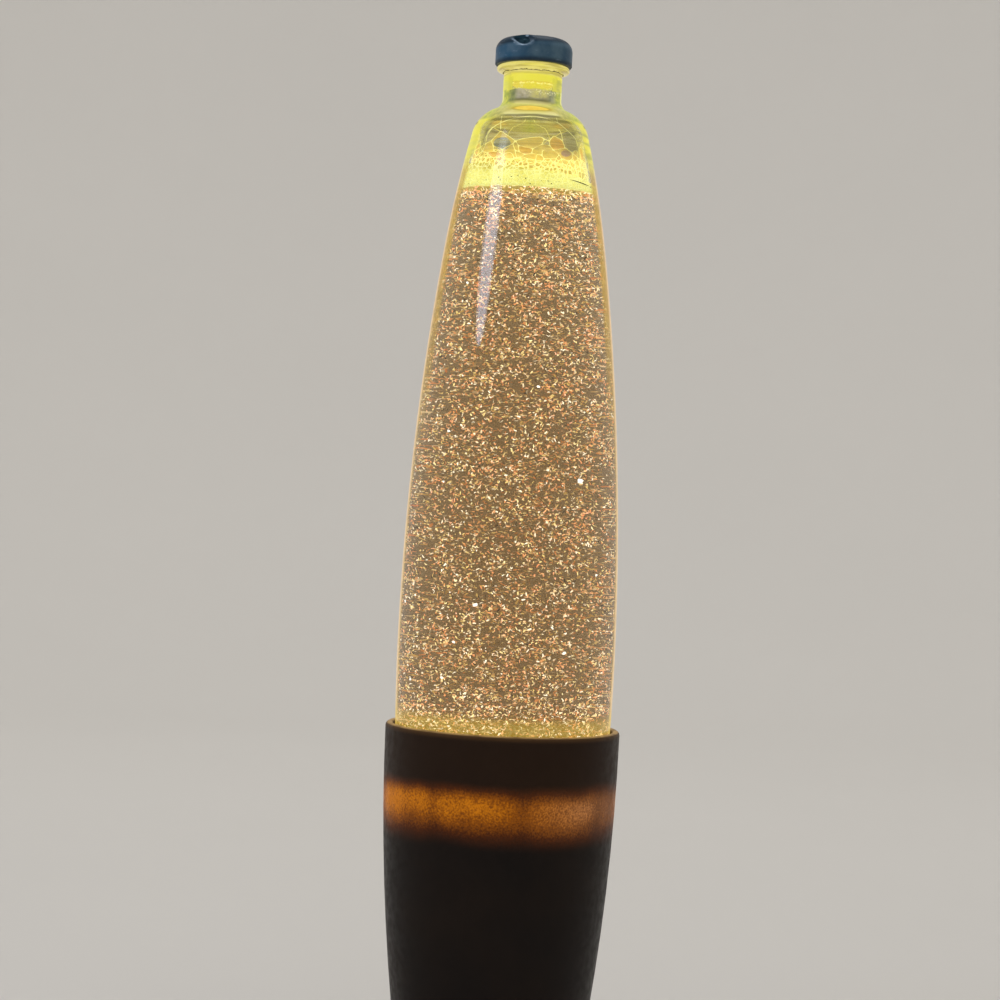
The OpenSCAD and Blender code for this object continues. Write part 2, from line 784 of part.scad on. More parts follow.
module foot_ring() {
    outer_r = base_r(foot_t, 0) - edge_r / 2;
    round_r = foot_t / 4;
    color([0.09, 0.09, 0.09])
        difference() {
            revolve(concat(
                arc([outer_r - foot_w + round_r, round_r], round_r, 180, 270),
                arc([outer_r - round_r, round_r], round_r, 270, 360),
                [[outer_r, foot_t], [outer_r - foot_w, foot_t]]
            ));
            for (turn = boss_turns)
                rotate([0, 0, turn])
                    translate([boss_ring_r, 0, -1])
                        cylinder(h = foot_t + 2, r = sink_r + 2 * fit, $fn = 48);
        }
}

module cord_grommet() {
    waist_r = outlet_r - fit;
    waist_len = base_wall + 0.6;
    outer_t = 1.6;
    inner_t = 1.4;
    outer_flange_r = outlet_r + 1.9;
    inner_flange_r = outlet_r + 1.1;
    color([0.08, 0.08, 0.08])
        at_outlet()
            revolve([
                [cord_r, outer_t], [outer_flange_r - outer_t / 2, outer_t], [outer_flange_r, outer_t / 2],
                [outer_flange_r, 0], [waist_r, 0], [waist_r, -waist_len],
                [inner_flange_r, -waist_len], [waist_r, -waist_len - inner_t], [cord_r, -waist_len - inner_t]
            ]);
}

// Bulb: the globe and the neck are joined by a hollow curve
neck_z = globe_z - sqrt(pow(bulb_curve_r + bulb_r, 2) - pow(bulb_neck_r + bulb_curve_r, 2));
hollow_c = [bulb_neck_r + bulb_curve_r, neck_z];
globe_c = [0, globe_z];
globe_a = direction(hollow_c - globe_c);
neck_in_cap = 8;
envelope_low = bulb_z + bulb_cap_top - neck_in_cap;

function envelope_points(inset) = concat(
    arc(hollow_c, bulb_curve_r + inset, 180, globe_a + 180),
    arc(globe_c, bulb_r - inset, globe_a, 90)
);

module bulb_envelope() {
    color([0.97, 0.95, 0.88, 0.6])
        revolve(concat(
            [[bulb_neck_r, envelope_low]], envelope_points(0),
            reversed(envelope_points(bulb_glass_t)), [[bulb_neck_r - bulb_glass_t, envelope_low]]
        ));
}

cap_sheet_t = 0.4;
cap_step = 1.2;
insulator_r = bulb_cap_r - cap_step - cap_sheet_t - fit;
contact_r = 4.8;
contact_t = 1.4;

module bulb_screw_cap() {
    low = bulb_z + bulb_cap_low;
    top = bulb_z + bulb_cap_top;
    inner_r = bulb_cap_r - cap_sheet_t;
    color([0.80, 0.70, 0.42])
        revolve([
            [bulb_cap_r - cap_step, low], [bulb_cap_r, low + cap_step], [bulb_cap_r, top],
            [inner_r, top], [inner_r, low + cap_step + cap_sheet_t / 2], [inner_r - cap_step, low]
        ]);
}

module bulb_insulator() {
    low = bulb_z + contact_t;
    top = bulb_z + bulb_cap_low;
    color([0.10, 0.08, 0.10])
        revolve([
            [0, low], [contact_r + 0.8, low], [insulator_r, top],
            [insulator_r, top + 1], [0, top + 1]
        ]);
}

module bulb_contact() {
    color([0.74, 0.74, 0.72])
        revolve([
            [0, bulb_z], [contact_r - 2, bulb_z], [contact_r, bulb_z + contact_t - 0.4],
            [contact_r, bulb_z + contact_t], [0, bulb_z + contact_t]
        ]);
}

stem_low = envelope_low + 1;
stem_drop = 14;
stem_top = globe_z - stem_drop;
stem_r = 2.6;
flare_r = bulb_neck_r - bulb_glass_t - 2 * fit;
flare_h = 9;
arbor_drop = 6;
arbor_top = globe_z - arbor_drop;
arbor_r = 0.9;
wire_r = 0.35;
wire_rise = 4;
filament_sweep = 230;
filament_thick = 0.45;

module bulb_stem() {
    color([0.88, 0.92, 0.90, 0.6]) {
        revolve([
            [flare_r - 1, stem_low], [flare_r, stem_low], [flare_r, stem_low + 1],
            [stem_r, stem_low + flare_h], [stem_r, stem_top - 1], [stem_r - 1, stem_top],
            [arbor_r, stem_top], [arbor_r, arbor_top], [0, arbor_top], [0, stem_low + flare_h]
        ]);
        translate([0, 0, arbor_top]) sphere(r = 2 * arbor_r, $fn = 24);
    }
}

// Filament ends and its two hooks, in turns about the axis
filament_ends = [for (side = [-1, 1]) side * filament_sweep / 2];
filament_hooks = [-40, 40];

function on_filament(turn, drop) =
    concat(polar(filament_r, turn + 90), [globe_z - drop]);

module bulb_wires() {
    touch = filament_thick + wire_r - hole_fit;
    color([0.70, 0.68, 0.62]) {
        for (turn = filament_ends)
            bar(concat(polar(stem_r - 2 * wire_r, turn + 90), [stem_top - wire_rise]),
                on_filament(turn, touch), wire_r);
        for (turn = filament_hooks)
            bar(concat(polar(arbor_r, turn + 90), [arbor_top]), on_filament(turn, touch), wire_r);
    }
}

module bulb_filament() {
    color([0.95, 0.72, 0.35])
        translate([0, 0, globe_z])
            rotate([0, 0, 90 - filament_sweep / 2])
                rotate_extrude(angle = filament_sweep)
                    translate([filament_r, 0]) circle(r = filament_thick, $fn = 24);
}

glass_bottle();
liquid_fill();
foam_head();
glitter_flakes();
neck_stopper();
cap_liner();
bottle_cap();
base_shell();
heat_shield();
shield_ring();
socket_body();
socket_shell();
socket_contact();
terminal_plates();
terminal_screws();
socket_tube();
tube_locknut();
socket_bracket();
bracket_screws();
bottom_cover();
cover_screws();
foot_ring();
cord_grommet();
bulb_envelope();
bulb_screw_cap();
bulb_insulator();
bulb_contact();
bulb_stem();
bulb_wires();
bulb_filament();
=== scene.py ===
import bpy, bmesh, math, random
from mathutils import Vector, Matrix, noise
from mathutils.geometry import delaunay_2d_cdt


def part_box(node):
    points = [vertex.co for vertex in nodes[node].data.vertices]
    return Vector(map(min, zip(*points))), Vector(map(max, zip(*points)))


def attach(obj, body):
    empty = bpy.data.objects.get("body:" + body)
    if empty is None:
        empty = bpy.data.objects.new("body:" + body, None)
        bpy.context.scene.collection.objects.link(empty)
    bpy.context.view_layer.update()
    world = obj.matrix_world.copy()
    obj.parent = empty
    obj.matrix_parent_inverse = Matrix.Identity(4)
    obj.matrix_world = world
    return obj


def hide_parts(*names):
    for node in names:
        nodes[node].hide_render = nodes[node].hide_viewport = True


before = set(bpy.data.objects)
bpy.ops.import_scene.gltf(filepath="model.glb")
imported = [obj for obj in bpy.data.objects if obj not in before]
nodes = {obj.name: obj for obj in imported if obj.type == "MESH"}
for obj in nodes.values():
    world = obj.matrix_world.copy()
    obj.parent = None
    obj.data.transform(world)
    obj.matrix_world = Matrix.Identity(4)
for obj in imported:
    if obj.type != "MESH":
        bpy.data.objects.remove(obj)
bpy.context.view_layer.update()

scene = bpy.context.scene
mm = 0.001
tau = 2 * math.pi


# Shader maths as plain Python: a Wire is one socket of a material's node tree
class Wire:
    def __init__(self, tree, socket=None):
        self.tree, self.socket = tree, socket

    def node(self, kind, settings=(), sockets=(), out=0):
        made = self.tree.nodes.new("ShaderNode" + kind)
        for key, value in dict(settings).items():
            if key == "stops":
                for element, (at, colour) in zip(stopsOf(made, len(value)), value):
                    element.position, element.color = at, (*colour, 1)
            else:
                setattr(made, key, value)
        for key, value in dict(sockets).items():
            if isinstance(value, Wire):
                self.tree.links.new(value.socket, made.inputs[key])
            else:
                made.inputs[key].default_value = value
        return Wire(self.tree, made.outputs[out])

    def maths(self, operation, *others):
        return self.node("Math", {"operation": operation}, enumerate((self, *others)))

    def reflected(self, operation, other):
        return self.node("Math", {"operation": operation}, enumerate((other, self)))

    def __add__(self, other):
        return self.maths("ADD", other)

    def __radd__(self, other):
        return self.reflected("ADD", other)

    def __sub__(self, other):
        return self.maths("SUBTRACT", other)

    def __rsub__(self, other):
        return self.reflected("SUBTRACT", other)

    def __mul__(self, other):
        return self.maths("MULTIPLY", other)

    def __rmul__(self, other):
        return self.reflected("MULTIPLY", other)

    def __truediv__(self, other):
        return self.maths("DIVIDE", other)

    def __pow__(self, other):
        return self.maths("POWER", other)

    def __abs__(self):
        return self.maths("ABSOLUTE")

    def highest(self, other):
        return self.maths("MAXIMUM", other)

    def rises(self, low, high, start=0.0, end=1.0):  # smooth step from low to high
        return self.node("MapRange", {"interpolation_type": "SMOOTHSTEP"},
                         {"Value": self, "From Min": low, "From Max": high, "To Min": start, "To Max": end})

    def blend(self, first, second):  # colour first where self is 0, second where it is 1
        pair = [value if isinstance(value, Wire) else (*value, 1) for value in (first, second)]
        return self.node("Mix", {"data_type": "RGBA"}, {0: self, 6: pair[0], 7: pair[1]}, out=2)

    def ramp(self, *stops):
        return self.node("ValToRGB", {"stops": stops}, {"Fac": self})

    def place(self):  # the piece's own coordinates, in metres
        return self.node("TexCoord", out="Object")

    def axis(self, letter):
        return self.node("SeparateXYZ", (), {0: self.place()}, out="XYZ".index(letter))

    def grain(self, scale, detail=2.0, at=None):
        return self.node("TexNoise", (), {"Vector": at or self.place(), "Scale": scale, "Detail": detail})

    def drawn(self, x, y, z, detail=3.0):  # grain of a different scale along each axis
        stretched = self.node("VectorMath", {"operation": "MULTIPLY"}, {0: self.place(), 1: (x, y, z)})
        return self.grain(1.0, detail, at=stretched)

    def cells(self, scale, feature="F1", out=0):
        return self.node("TexVoronoi", {"feature": feature}, {"Vector": self.place(), "Scale": scale}, out)

    def radius(self):
        return (self.axis("X") ** 2.0 + self.axis("Y") ** 2.0) ** 0.5

    def facing(self):  # 0 where the surface faces the eye, 1 at its outline
        return self.node("LayerWeight", (), {"Blend": 0.5}, out="Facing")

    def bearing(self):  # degrees about the lamp's axis, 0 at the front, positive to the right
        return self.axis("X").maths("ARCTAN2", 0.0 - self.axis("Y")) * math.degrees(1)


def stopsOf(rampNode, count):
    elements = rampNode.color_ramp.elements
    while len(elements) < count:
        elements.new(0.5)
    return elements


def surface(tree, shader, fixed, varied):
    for key, value in fixed.items():
        shader.inputs[key].default_value = (*value, 1) if isinstance(value, tuple) else value
    start = Wire(tree)
    for key, wire in (varied(start) if varied else {}).items():
        if key == "Height":
            height, distance = wire
            wire = start.node("Bump", (), {"Height": height, "Distance": distance, "Strength": 1.0})
            key = "Normal"
        tree.links.new(wire.socket, shader.inputs[key])


def material(name, fixed, varied=None, lampRays=False, volume=None, over=None):
    made = bpy.data.materials.new(name)
    made.use_nodes = True
    made.cycles.emission_sampling = "NONE"
    tree = made.node_tree
    shader = tree.nodes["Principled BSDF"]
    output = tree.nodes["Material Output"]
    surface(tree, shader, fixed, varied)
    start = Wire(tree)
    last = Wire(tree, shader.outputs[0])
    if over:  # a second surface, laid over the first by a share of 0 to 1
        share, overFixed, overVaried = over
        second = tree.nodes.new("ShaderNodeBsdfPrincipled")
        surface(tree, second, overFixed, overVaried)
        last = start.node("MixShader", (), {0: share(start), 1: last, 2: Wire(tree, second.outputs[0])})
    if lampRays:  # rays from the lamps pass, so that they reach what is behind the glass
        ray = start.node("LightPath", out="Is Shadow Ray")
        clear = start.node("BsdfTransparent", (), {"Color": (*lampRays, 1)})
        last = start.node("MixShader", (), {0: ray, 1: last, 2: clear})
    tree.links.new(last.socket, output.inputs["Surface"])
    if volume:
        parts = [start.node(kind, (), settings) for kind, settings in volume]
        whole = start.node("AddShader", (), enumerate(parts))
        tree.links.new(whole.socket, output.inputs["Volume"])
    return made


# Meshes: a shape is its corners in metres and its faces
def newPiece(name, shape, paint, body, node=None, sharp=35):
    verts, faces = shape
    mesh = bpy.data.meshes.new(name)
    mesh.from_pydata(verts, [], faces)
    mesh.validate()
    return addPiece(name, mesh, paint, body, node, sharp)


def addPiece(name, mesh, paint, body, node=None, sharp=35):
    mesh.polygons.foreach_set("use_smooth", [True] * len(mesh.polygons))
    if sharp:
        mesh.set_sharp_from_angle(angle=math.radians(sharp))
    piece = bpy.data.objects.new(name, mesh)
    scene.collection.objects.link(piece)
    mesh.materials.append(paint)
    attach(piece, body)
    if node:
        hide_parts(node)
    return piece


def lathe(points, steps=192, closed=True, warp=None):
    # Revolves (radius, height) points in mm; warp may move a point by its radius, height and turn
    verts, faces, rows = [], [], []
    for r, z in points:
        if r < 1e-6:
            verts.append((0, 0, z * mm))
            rows.append([len(verts) - 1] * steps)
            continue
        row = []
        for i in range(steps):
            turn = tau * i / steps
            movedR, movedZ = warp(r, z, turn) if warp else (r, z)
            verts.append((movedR * math.sin(turn) * mm, -movedR * math.cos(turn) * mm, movedZ * mm))
            row.append(len(verts) - 1)
        rows.append(row)
    pairs = list(zip(rows, rows[1:]))
    if closed:
        pairs.append((rows[-1], rows[0]))
    for low, high in pairs:
        for i in range(steps):
            j = (i + 1) % steps
            face = [low[i], low[j], high[j], high[i]]
            face = [v for k, v in enumerate(face) if v != face[k - 1]]
            if len(face) > 2:
                faces.append(face)
    return verts, faces


def tube(points, radii, sides=8):
    # A closed round tube along points in mm
    verts, faces = [], []
    count = len(points)
    side = Vector((0, 0, 1))
    for i, (point, radius) in enumerate(zip(points, radii)):
        ahead = points[min(i + 1, count - 1)] - points[max(i - 1, 0)]
        ahead.normalize()
        side = side - ahead * side.dot(ahead)
        if side.length < 1e-4:
            side = ahead.orthogonal()
        side.normalize()
        other = ahead.cross(side)
        for k in range(sides):
            turn = tau * k / sides
            verts.append(tuple((point + (side * math.cos(turn) + other * math.sin(turn)) * radius) * mm))
    for i in range(count - 1):
        for k in range(sides):
            a, b = i * sides + k, i * sides + (k + 1) % sides
            faces.append((a, b, b + sides, a + sides))
    faces.append(tuple(reversed(range(sides))))
    faces.append(tuple(range((count - 1) * sides, count * sides)))
    return verts, faces


def joined(parts):
    verts, faces = [], []
    for someVerts, someFaces in parts:
        base = len(verts)
        verts.extend(someVerts)
        faces.extend([tuple(v + base for v in face) for face in someFaces])
    return verts, faces


def onCircle(r, turn, z):  # a spot about the lamp's axis; turn 0 is the front
    return Vector((r * math.sin(turn), -r * math.cos(turn), z))


def polar(radius, angle):
    return Vector((radius * math.cos(angle), radius * math.sin(angle)))


def arc(centre, radius, start, end, error=0.006):
    # Points of an arc in the profile plane, close enough for a smooth highlight
    count = max(2, math.ceil(abs(end - start) / 2 / math.acos(1 - min(0.5, error / abs(radius)))))
    return [tuple(centre + polar(radius, start + (end - start) * i / count)) for i in range(count + 1)]


def heading(vector):
    return math.atan2(vector.y, vector.x)


def crossing(c0, r0, c1, r1):  # one of the two points where two circles meet
    between = c1 - c0
    length = between.length
    along = (r0 * r0 - r1 * r1 + length * length) / 2 / length
    aside = Vector((-between.y, between.x)) / length * math.sqrt(r0 * r0 - along * along)
    return c0 + between * along / length + aside


# Bottle profile, in mm above its bearing ring
bottle = {
    "bellyR": 44.74, "bellyH": 57, "sideLen": 165, "upperLen": 46.8,
    "lowCurve": 900, "sideCurve": 1163, "upperCurve": 465, "shoulderCurve": 13.8, "neckCurve": 4.9,
    "neckR": 12.05, "neckLen": 11.16, "heel": 6, "innerHeel": 5, "wall": 2.6, "floor": 4,
    "bearing": 2.5, "pushUp": 4.5, "beadT": 2.5, "beadOut": 2.9, "beadFillet": 1.0, "mouthGap": 0.2,
    "capR": 15.8, "capH": 12.1, "capRound": 5.0, "capDome": 60, "capWall": 2.5, "capTop": 2.5,
    "liner": 0.8, "flange": 1.0,
}
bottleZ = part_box("glass_bottle")[0].z / mm
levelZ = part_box("liquid_fill")[1].z / mm
lowC = Vector((bottle["bellyR"] - bottle["lowCurve"], bottle["bellyH"]))
lowA = math.asin(-(bottle["bellyH"] - bottle["heel"]) / (bottle["lowCurve"] - bottle["heel"]))
heelC = lowC + polar(bottle["lowCurve"] - bottle["heel"], lowA)
sideC = Vector((bottle["bellyR"] - bottle["sideCurve"], bottle["bellyH"]))
sideA = math.asin(bottle["sideLen"] / bottle["sideCurve"])
upperC = sideC + polar(bottle["sideCurve"] - bottle["upperCurve"], sideA)
upperA = math.asin(math.sin(sideA) + bottle["upperLen"] / bottle["upperCurve"])
shoulderC = upperC + polar(bottle["upperCurve"] - bottle["shoulderCurve"], upperA)
shoulderReach = bottle["shoulderCurve"] + bottle["neckCurve"]
shoulderA = math.acos((bottle["neckR"] + bottle["neckCurve"] - shoulderC.x) / shoulderReach)
neckC = shoulderC + polar(shoulderReach, shoulderA)
domeEdge = heelC.x - bottle["bearing"]
domeR = (domeEdge ** 2 + bottle["pushUp"] ** 2) / 2 / bottle["pushUp"]
domeC = Vector((0, bottle["pushUp"] - domeR))
innerHeelC = crossing(lowC, bottle["lowCurve"] - bottle["wall"] - bottle["innerHeel"],
                      domeC, domeR + bottle["floor"] + bottle["innerHeel"])
floorA = heading(innerHeelC - domeC)
innerLowA = heading(innerHeelC - lowC)
beadH = neckC.y + bottle["neckLen"]
capZ = beadH + bottle["beadT"] + 0.1
lipH = capZ + bottle["capH"] - bottle["capTop"] - bottle["liner"] - bottle["flange"]
mouthR = bottle["capR"] - bottle["capWall"] - bottle["mouthGap"]


def sidePoints(angle, inset):
    return (arc(lowC, bottle["lowCurve"] - inset, angle, 0)
            + arc(sideC, bottle["sideCurve"] - inset, 0, sideA)[1:]
            + arc(upperC, bottle["upperCurve"] - inset, sideA, upperA)[1:]
            + arc(shoulderC, bottle["shoulderCurve"] - inset, upperA, shoulderA)[1:]
            + arc(neckC, bottle["neckCurve"] + inset, shoulderA + math.pi, math.pi)[1:])


def innerPoints(inset):
    return (arc(domeC, domeR + bottle["floor"] + inset, math.pi / 2, floorA)
            + arc(innerHeelC, bottle["innerHeel"] - inset, floorA - math.pi, innerLowA)[1:]
            + sidePoints(innerLowA, bottle["wall"] + inset)[1:])


def lifted(points):
    return [(r, z + bottleZ) for r, z in points]


innerProfile = lifted(innerPoints(0))


def innerRadius(z):  # radius of the bottle's inner face at a height in mm
    for (r0, z0), (r1, z1) in zip(innerProfile, innerProfile[1:]):
        if z0 <= z <= z1 and z1 > z0:
            return r0 + (r1 - r0) * (z - z0) / (z1 - z0)
    return bottle["neckR"] - bottle["wall"]


# Camera: at the photograph's height and angle, its roll leans the lamp to the right
view = {"side": -5.42, "distance": 1000, "height": 242.5, "roll": 2.685, "focal": 2432.8, "near": 0.01}
camera = bpy.data.objects.new("camera", bpy.data.cameras.new("camera"))
scene.collection.objects.link(camera)
camera.location = (view["side"] * mm, -view["distance"] * mm, view["height"] * mm)
upright = Matrix.Rotation(math.radians(90), 3, "X")
camera.rotation_euler = (upright @ Matrix.Rotation(math.radians(view["roll"]), 3, "Z")).to_euler()
camera.data.sensor_width = 36
camera.data.lens = view["focal"] * 36 / 1000
camera.data.clip_start = view["near"]
scene.camera = camera
print("camera placed")

# Studio: a round pale cove, open above, and soft lamps
studio = {
    "floor": 1.5, "cove": 1.2, "top": 3.2, "colour": (0.60, 0.585, 0.56), "cloud": (0.62, 0.605, 0.58),
    "sky": (1.0, 0.99, 0.97, 1), "skyLevel": 0.52,
}


def studioCove():
    bend = [math.pi / 2 * i / 24 for i in range(25)]
    far, tall = studio["floor"], studio["cove"]
    profile = [(0.0, 0.0), (0.4, 0.0)]
    profile += [(far + tall * math.sin(a), tall * (1 - math.cos(a))) for a in bend]
    profile += [(far + tall, studio["top"])]
    verts, faces = lathe([(r / mm, z / mm) for r, z in profile], steps=96, closed=False)
    mesh = bpy.data.meshes.new("studio_cove")
    mesh.from_pydata(verts, [], faces)
    mesh.polygons.foreach_set("use_smooth", [True] * len(mesh.polygons))
    cove = bpy.data.objects.new("studio_cove", mesh)
    scene.collection.objects.link(cove)
    mesh.materials.append(material(
        "pale paper", {"Roughness": 0.9, "Specular IOR Level": 0.1},
        lambda w: {"Base Color": w.grain(3.0, 3.0).blend(studio["colour"], studio["cloud"])}))


def softLamp(name, bearing, height, distance, size, watts, colour, target=(0, 0, 0.2), shape="RECTANGLE"):
    data = bpy.data.lights.new(name, "AREA")
    data.shape, data.size, data.size_y = shape, *size
    data.energy, data.color = watts, colour
    lamp = bpy.data.objects.new(name, data)
    scene.collection.objects.link(lamp)
    angle = math.radians(bearing)
    lamp.location = (distance * math.sin(angle), -distance * math.cos(angle), height)
    lamp.rotation_euler = (Vector(target) - lamp.location).to_track_quat("-Z", "Y").to_euler()
    lamp.visible_camera = False


studioCove()
softLamp("overhead", 0, 3.1, 0.05, (2.6, 2.6), 34, (1.0, 0.98, 0.95))
softLamp("backdrop wash", 180, 2.9, 0.9, (2.6, 0.7), 19, (1.0, 0.98, 0.96), (0, 2.7, 0.5))
softLamp("window", -55, 0.85, 1.15, (0.44, 0.52), 1.7, (0.66, 0.74, 1.0), (0, 0, 0.33), "ELLIPSE")
world = bpy.data.worlds.new("studio")
world.use_nodes = True
world.node_tree.nodes["Background"].inputs["Color"].default_value = studio["sky"]
world.node_tree.nodes["Background"].inputs["Strength"].default_value = studio["skyLevel"]
scene.world = world
scene.view_settings.view_transform = "Standard"
print("studio lit")

# Glass bottle: one closed wall from the pushed-up bottom round the lip and back. Its glow is painted light:
# a glowing second surface over the glass stands in for light from the base led up inside the wall, which
# leaves it where the surface turns away, so its outline glows; reflections and shade in it are painted too.
# Heights are in metres over the table; a pair is where a zone begins and where it is full
glass = {
    "index": 1.5, "clear": (0.99, 1.0, 0.97), "rim": 0.150, "upper": (0.24, 0.34), "foamTop": 0.3815,
    "arcFoot": (0.3952, 0.3960), "arcHead": (0.3973, 0.3965), "paintedReflectionAndShade": (0.4005, 0.3960),
    "ringFoot": (0.3966, 0.3978), "ringHead": (0.4112, 0.4098), "ringEdge": (0.4160, 0.4145),
    "tornHead": (0.4104, 0.4097), "neck": (0.4035, 0.4075), "bead": (0.4155, 0.4168),
    "ringStart": 0.3965, "ringTall": 0.014, "lensZ": 0.4011, "lensTall": 0.00105, "lensWide": 21.0,
    "clearNeck": (0.4040, 0.4060), "mottled": (0.4055, 0.4070), "lit": (0.4058, 0.4070),
    "flank": (0.4040, 0.4058), "side": (0.4025, 0.4045), "outline": (0.4045, 0.4060),
    "frothFoot": (0.4076, 0.4084), "frothHead": (0.4103, 0.4095),
    "rings": (  # the neck's stacked reflections, from the shoulder up
        (0.0, (0.30, 0.27, 0.06)), (0.10, (0.090, 0.080, 0.018)), (0.15, (0.74, 0.70, 0.24)),
        (0.22, (0.58, 0.50, 0.11)), (0.27, (0.52, 0.46, 0.10)), (0.42, (0.48, 0.42, 0.09)),
        (0.50, (0.74, 0.68, 0.24)), (0.58, (0.48, 0.42, 0.15)), (0.63, (0.10, 0.10, 0.045)),
        (0.69, (0.19, 0.18, 0.12)), (0.82, (0.29, 0.26, 0.18)), (0.93, (0.38, 0.34, 0.21)),
        (1.0, (0.60, 0.54, 0.20)),
    ),
    "lampRays": (0.95, 0.95, 0.92), "steps": 224,
}


def fromFront(w):  # degrees from the front, or from a third of a turn to either side of it
    return abs((w.bearing() + 420.0).maths("MODULO", 120.0) - 60.0)


def paintedShoulderShade(w):  # painted shade: a dark olive zone inside the painted bright outline, wider on the right
    facing = w.facing()
    shadeZone = facing.rises(0.30, 0.40) * facing.rises(0.50, 0.42)
    return shadeZone + w.bearing().rises(-20.0, 30.0) * facing.rises(0.14, 0.28) * facing.rises(0.40, 0.30)


def shoulderArc(w):  # painted shade: the dark line where the shoulder turns into the neck
    height = w.axis("Z") + (w.grain(40) - 0.5) * 0.0014
    return height.rises(*glass["arcFoot"]) * height.rises(*glass["arcHead"]) * fromFront(w).rises(52.0, 40.0)


# Where the painted glow lies over the clear glass: the bright outline, the heel and the bead, with painted
# reflections and painted shade inside the outline
def glowShare(w):
    facing, height = w.facing(), w.axis("Z")
    empty = height.rises(glass["foamTop"] - 0.002, glass["foamTop"] + 0.004)
    neck = height.rises(*glass["neck"])
    bead = height.rises(*glass["bead"])
    high = height.rises(*glass["upper"])
    wide = (facing + w.bearing().rises(-10.0, 30.0) * -0.05).rises(0.45, 0.59) * (1.0 - neck)
    wide = wide + facing.rises(0.24, 0.40) * neck * 0.78
    thin = facing.rises(0.56, 0.67) * high * 0.84 + facing.rises(0.74, 0.85) * (1.0 - high) * 0.88
    heel = height.rises(glass["rim"] + 0.0085, glass["rim"] + 0.0030) * 0.44
    streak = w.drawn(40, 40, 160).rises(0.30, 0.62, 0.84, 1.0)
    lines = w.drawn(20, 20, 1050).rises(0.38, 0.64, 0.18, 0.48)
    below = height.rises(*glass["paintedReflectionAndShade"])
    paintedReflectionAndShade = (1.0 - bead) * empty * (below * lines).highest(0.22)
    paintedReflectionAndShade = paintedReflectionAndShade.highest(paintedShoulderShade(w) * below * empty * 0.55)
    paintedReflectionAndShade = paintedReflectionAndShade.highest(shoulderArc(w) * 0.74)
    ring = bead * w.drawn(90, 90, 1100, 4.0).rises(0.35, 0.6, 0.45, 0.80)
    top = height.rises(*glass["ringHead"])
    top = top.highest(facing.rises(0.20, 0.32) * height.rises(*glass["ringEdge"]))
    paintedReflectionAndShade = paintedReflectionAndShade.highest(height.rises(*glass["ringFoot"]) * top * 0.88)
    edge = (wide * empty + thin * (1.0 - empty)) * streak * 0.92
    return edge.highest(paintedReflectionAndShade.highest(heel.highest(ring)))


def paintedWallGlow(w):  # painted glow of the wall round the liquid, brighter at its outline and yellower where it stands in the base
    fine = w.grain(900).rises(0.35, 0.65)
    tone = w.facing().rises(0.79, 0.87).blend(
        fine.blend((0.40, 0.22, 0.018), (0.54, 0.33, 0.045)), (0.74, 0.51, 0.27))
    heel = fine.blend((0.58, 0.36, 0.035), (0.74, 0.54, 0.13))
    return w.axis("Z").rises(glass["rim"] + 0.012, glass["rim"] + 0.004).blend(tone, heel)


def paintedShoulderGlow(w):  # painted glow of the empty glass over the foam: bright outline, darker on the right, with streaky painted reflections and painted shade inside it
    line = w.drawn(40, 40, 420).rises(0.38, 0.66)
    right = w.bearing().rises(22.0, 50.0) * w.bearing().rises(120.0, 90.0)
    outline = line.blend((0.83, 0.76, 0.060), right.blend((0.70, 0.68, 0.085), (0.44, 0.44, 0.065)))
    streaks = w.drawn(18, 18, 1400).rises(0.34, 0.62)
    inside = streaks.blend((0.62, 0.53, 0.12), (0.32, 0.235, 0.045))
    shadeZone = streaks.blend((0.20, 0.20, 0.075), (0.10, 0.095, 0.030))
    inside = (paintedShoulderShade(w) * 0.9).blend(inside, shadeZone)
    inside = w.axis("Z").rises(*glass["clearNeck"]).blend(inside, (0.66, 0.62, 0.060))
    tone = w.facing().rises(0.38, 0.50).blend(inside, outline)
    return shoulderArc(w).blend(tone, (0.095, 0.085, 0.018))


def paintedNeckReflections(w):  # painted reflections in the neck: its rings and a lens of the stopper's colour, with painted shade on darker flanks, a painted bright outline and bubbles painted as bright specks
    height, facing, around = w.axis("Z"), w.facing(), fromFront(w)
    wavy = height + (w.drawn(70, 70, 300, 2.0) - 0.5) * 0.0013
    mottle = w.grain(520, 3.0).rises(0.34, 0.66)
    rings = ((wavy - glass["ringStart"]) / glass["ringTall"]).ramp(*glass["rings"])
    rings = (mottle * 0.5 * height.rises(*glass["mottled"])).blend(rings, (0.56, 0.50, 0.42))
    across, up = around / glass["lensWide"], (wavy - glass["lensZ"]) / glass["lensTall"]
    lens = (across * across + up * up) ** 0.5
    rings = lens.rises(1.40, 1.18).blend(rings, (0.44, 0.30, 0.035))
    rings = lens.rises(1.15, 0.95).blend(rings, mottle.blend((0.92, 0.63, 0.080), (0.84, 0.52, 0.055)))
    lit = height.rises(*glass["lit"]) * w.bearing().rises(-14.0, 10.0) * mottle.rises(0.1, 0.8, 0.35, 0.95)
    rings = lit.blend(rings, (0.54, 0.49, 0.13))
    flank = w.bearing().rises(10.0, -20.0).blend(
        mottle.blend((0.12, 0.15, 0.11), (0.30, 0.31, 0.20)),
        mottle.blend((0.08, 0.12, 0.07), (0.20, 0.24, 0.09)))
    front = mottle.blend((0.56, 0.52, 0.14), (0.34, 0.33, 0.09))
    flank = height.rises(*glass["flank"]).blend(front, flank)
    rings = around.rises(27.0, 40.0).blend(rings, flank)
    edge = around.rises(42.0, 60.0).highest(facing.rises(0.44, 0.58) * height.rises(*glass["side"]))
    rings = edge.blend(rings, mottle.blend((0.32, 0.39, 0.050), (0.62, 0.62, 0.080)))
    rings = (facing.rises(0.70, 0.80) * height.rises(*glass["outline"])).blend(rings, (0.80, 0.78, 0.22))
    froth = w.cells(1300).rises(0.42, 0.20)
    froth = froth * height.rises(*glass["frothFoot"]) * height.rises(*glass["frothHead"])
    return (froth * w.bearing().rises(-28.0, 0.0)).blend(rings, (0.88, 0.84, 0.42))


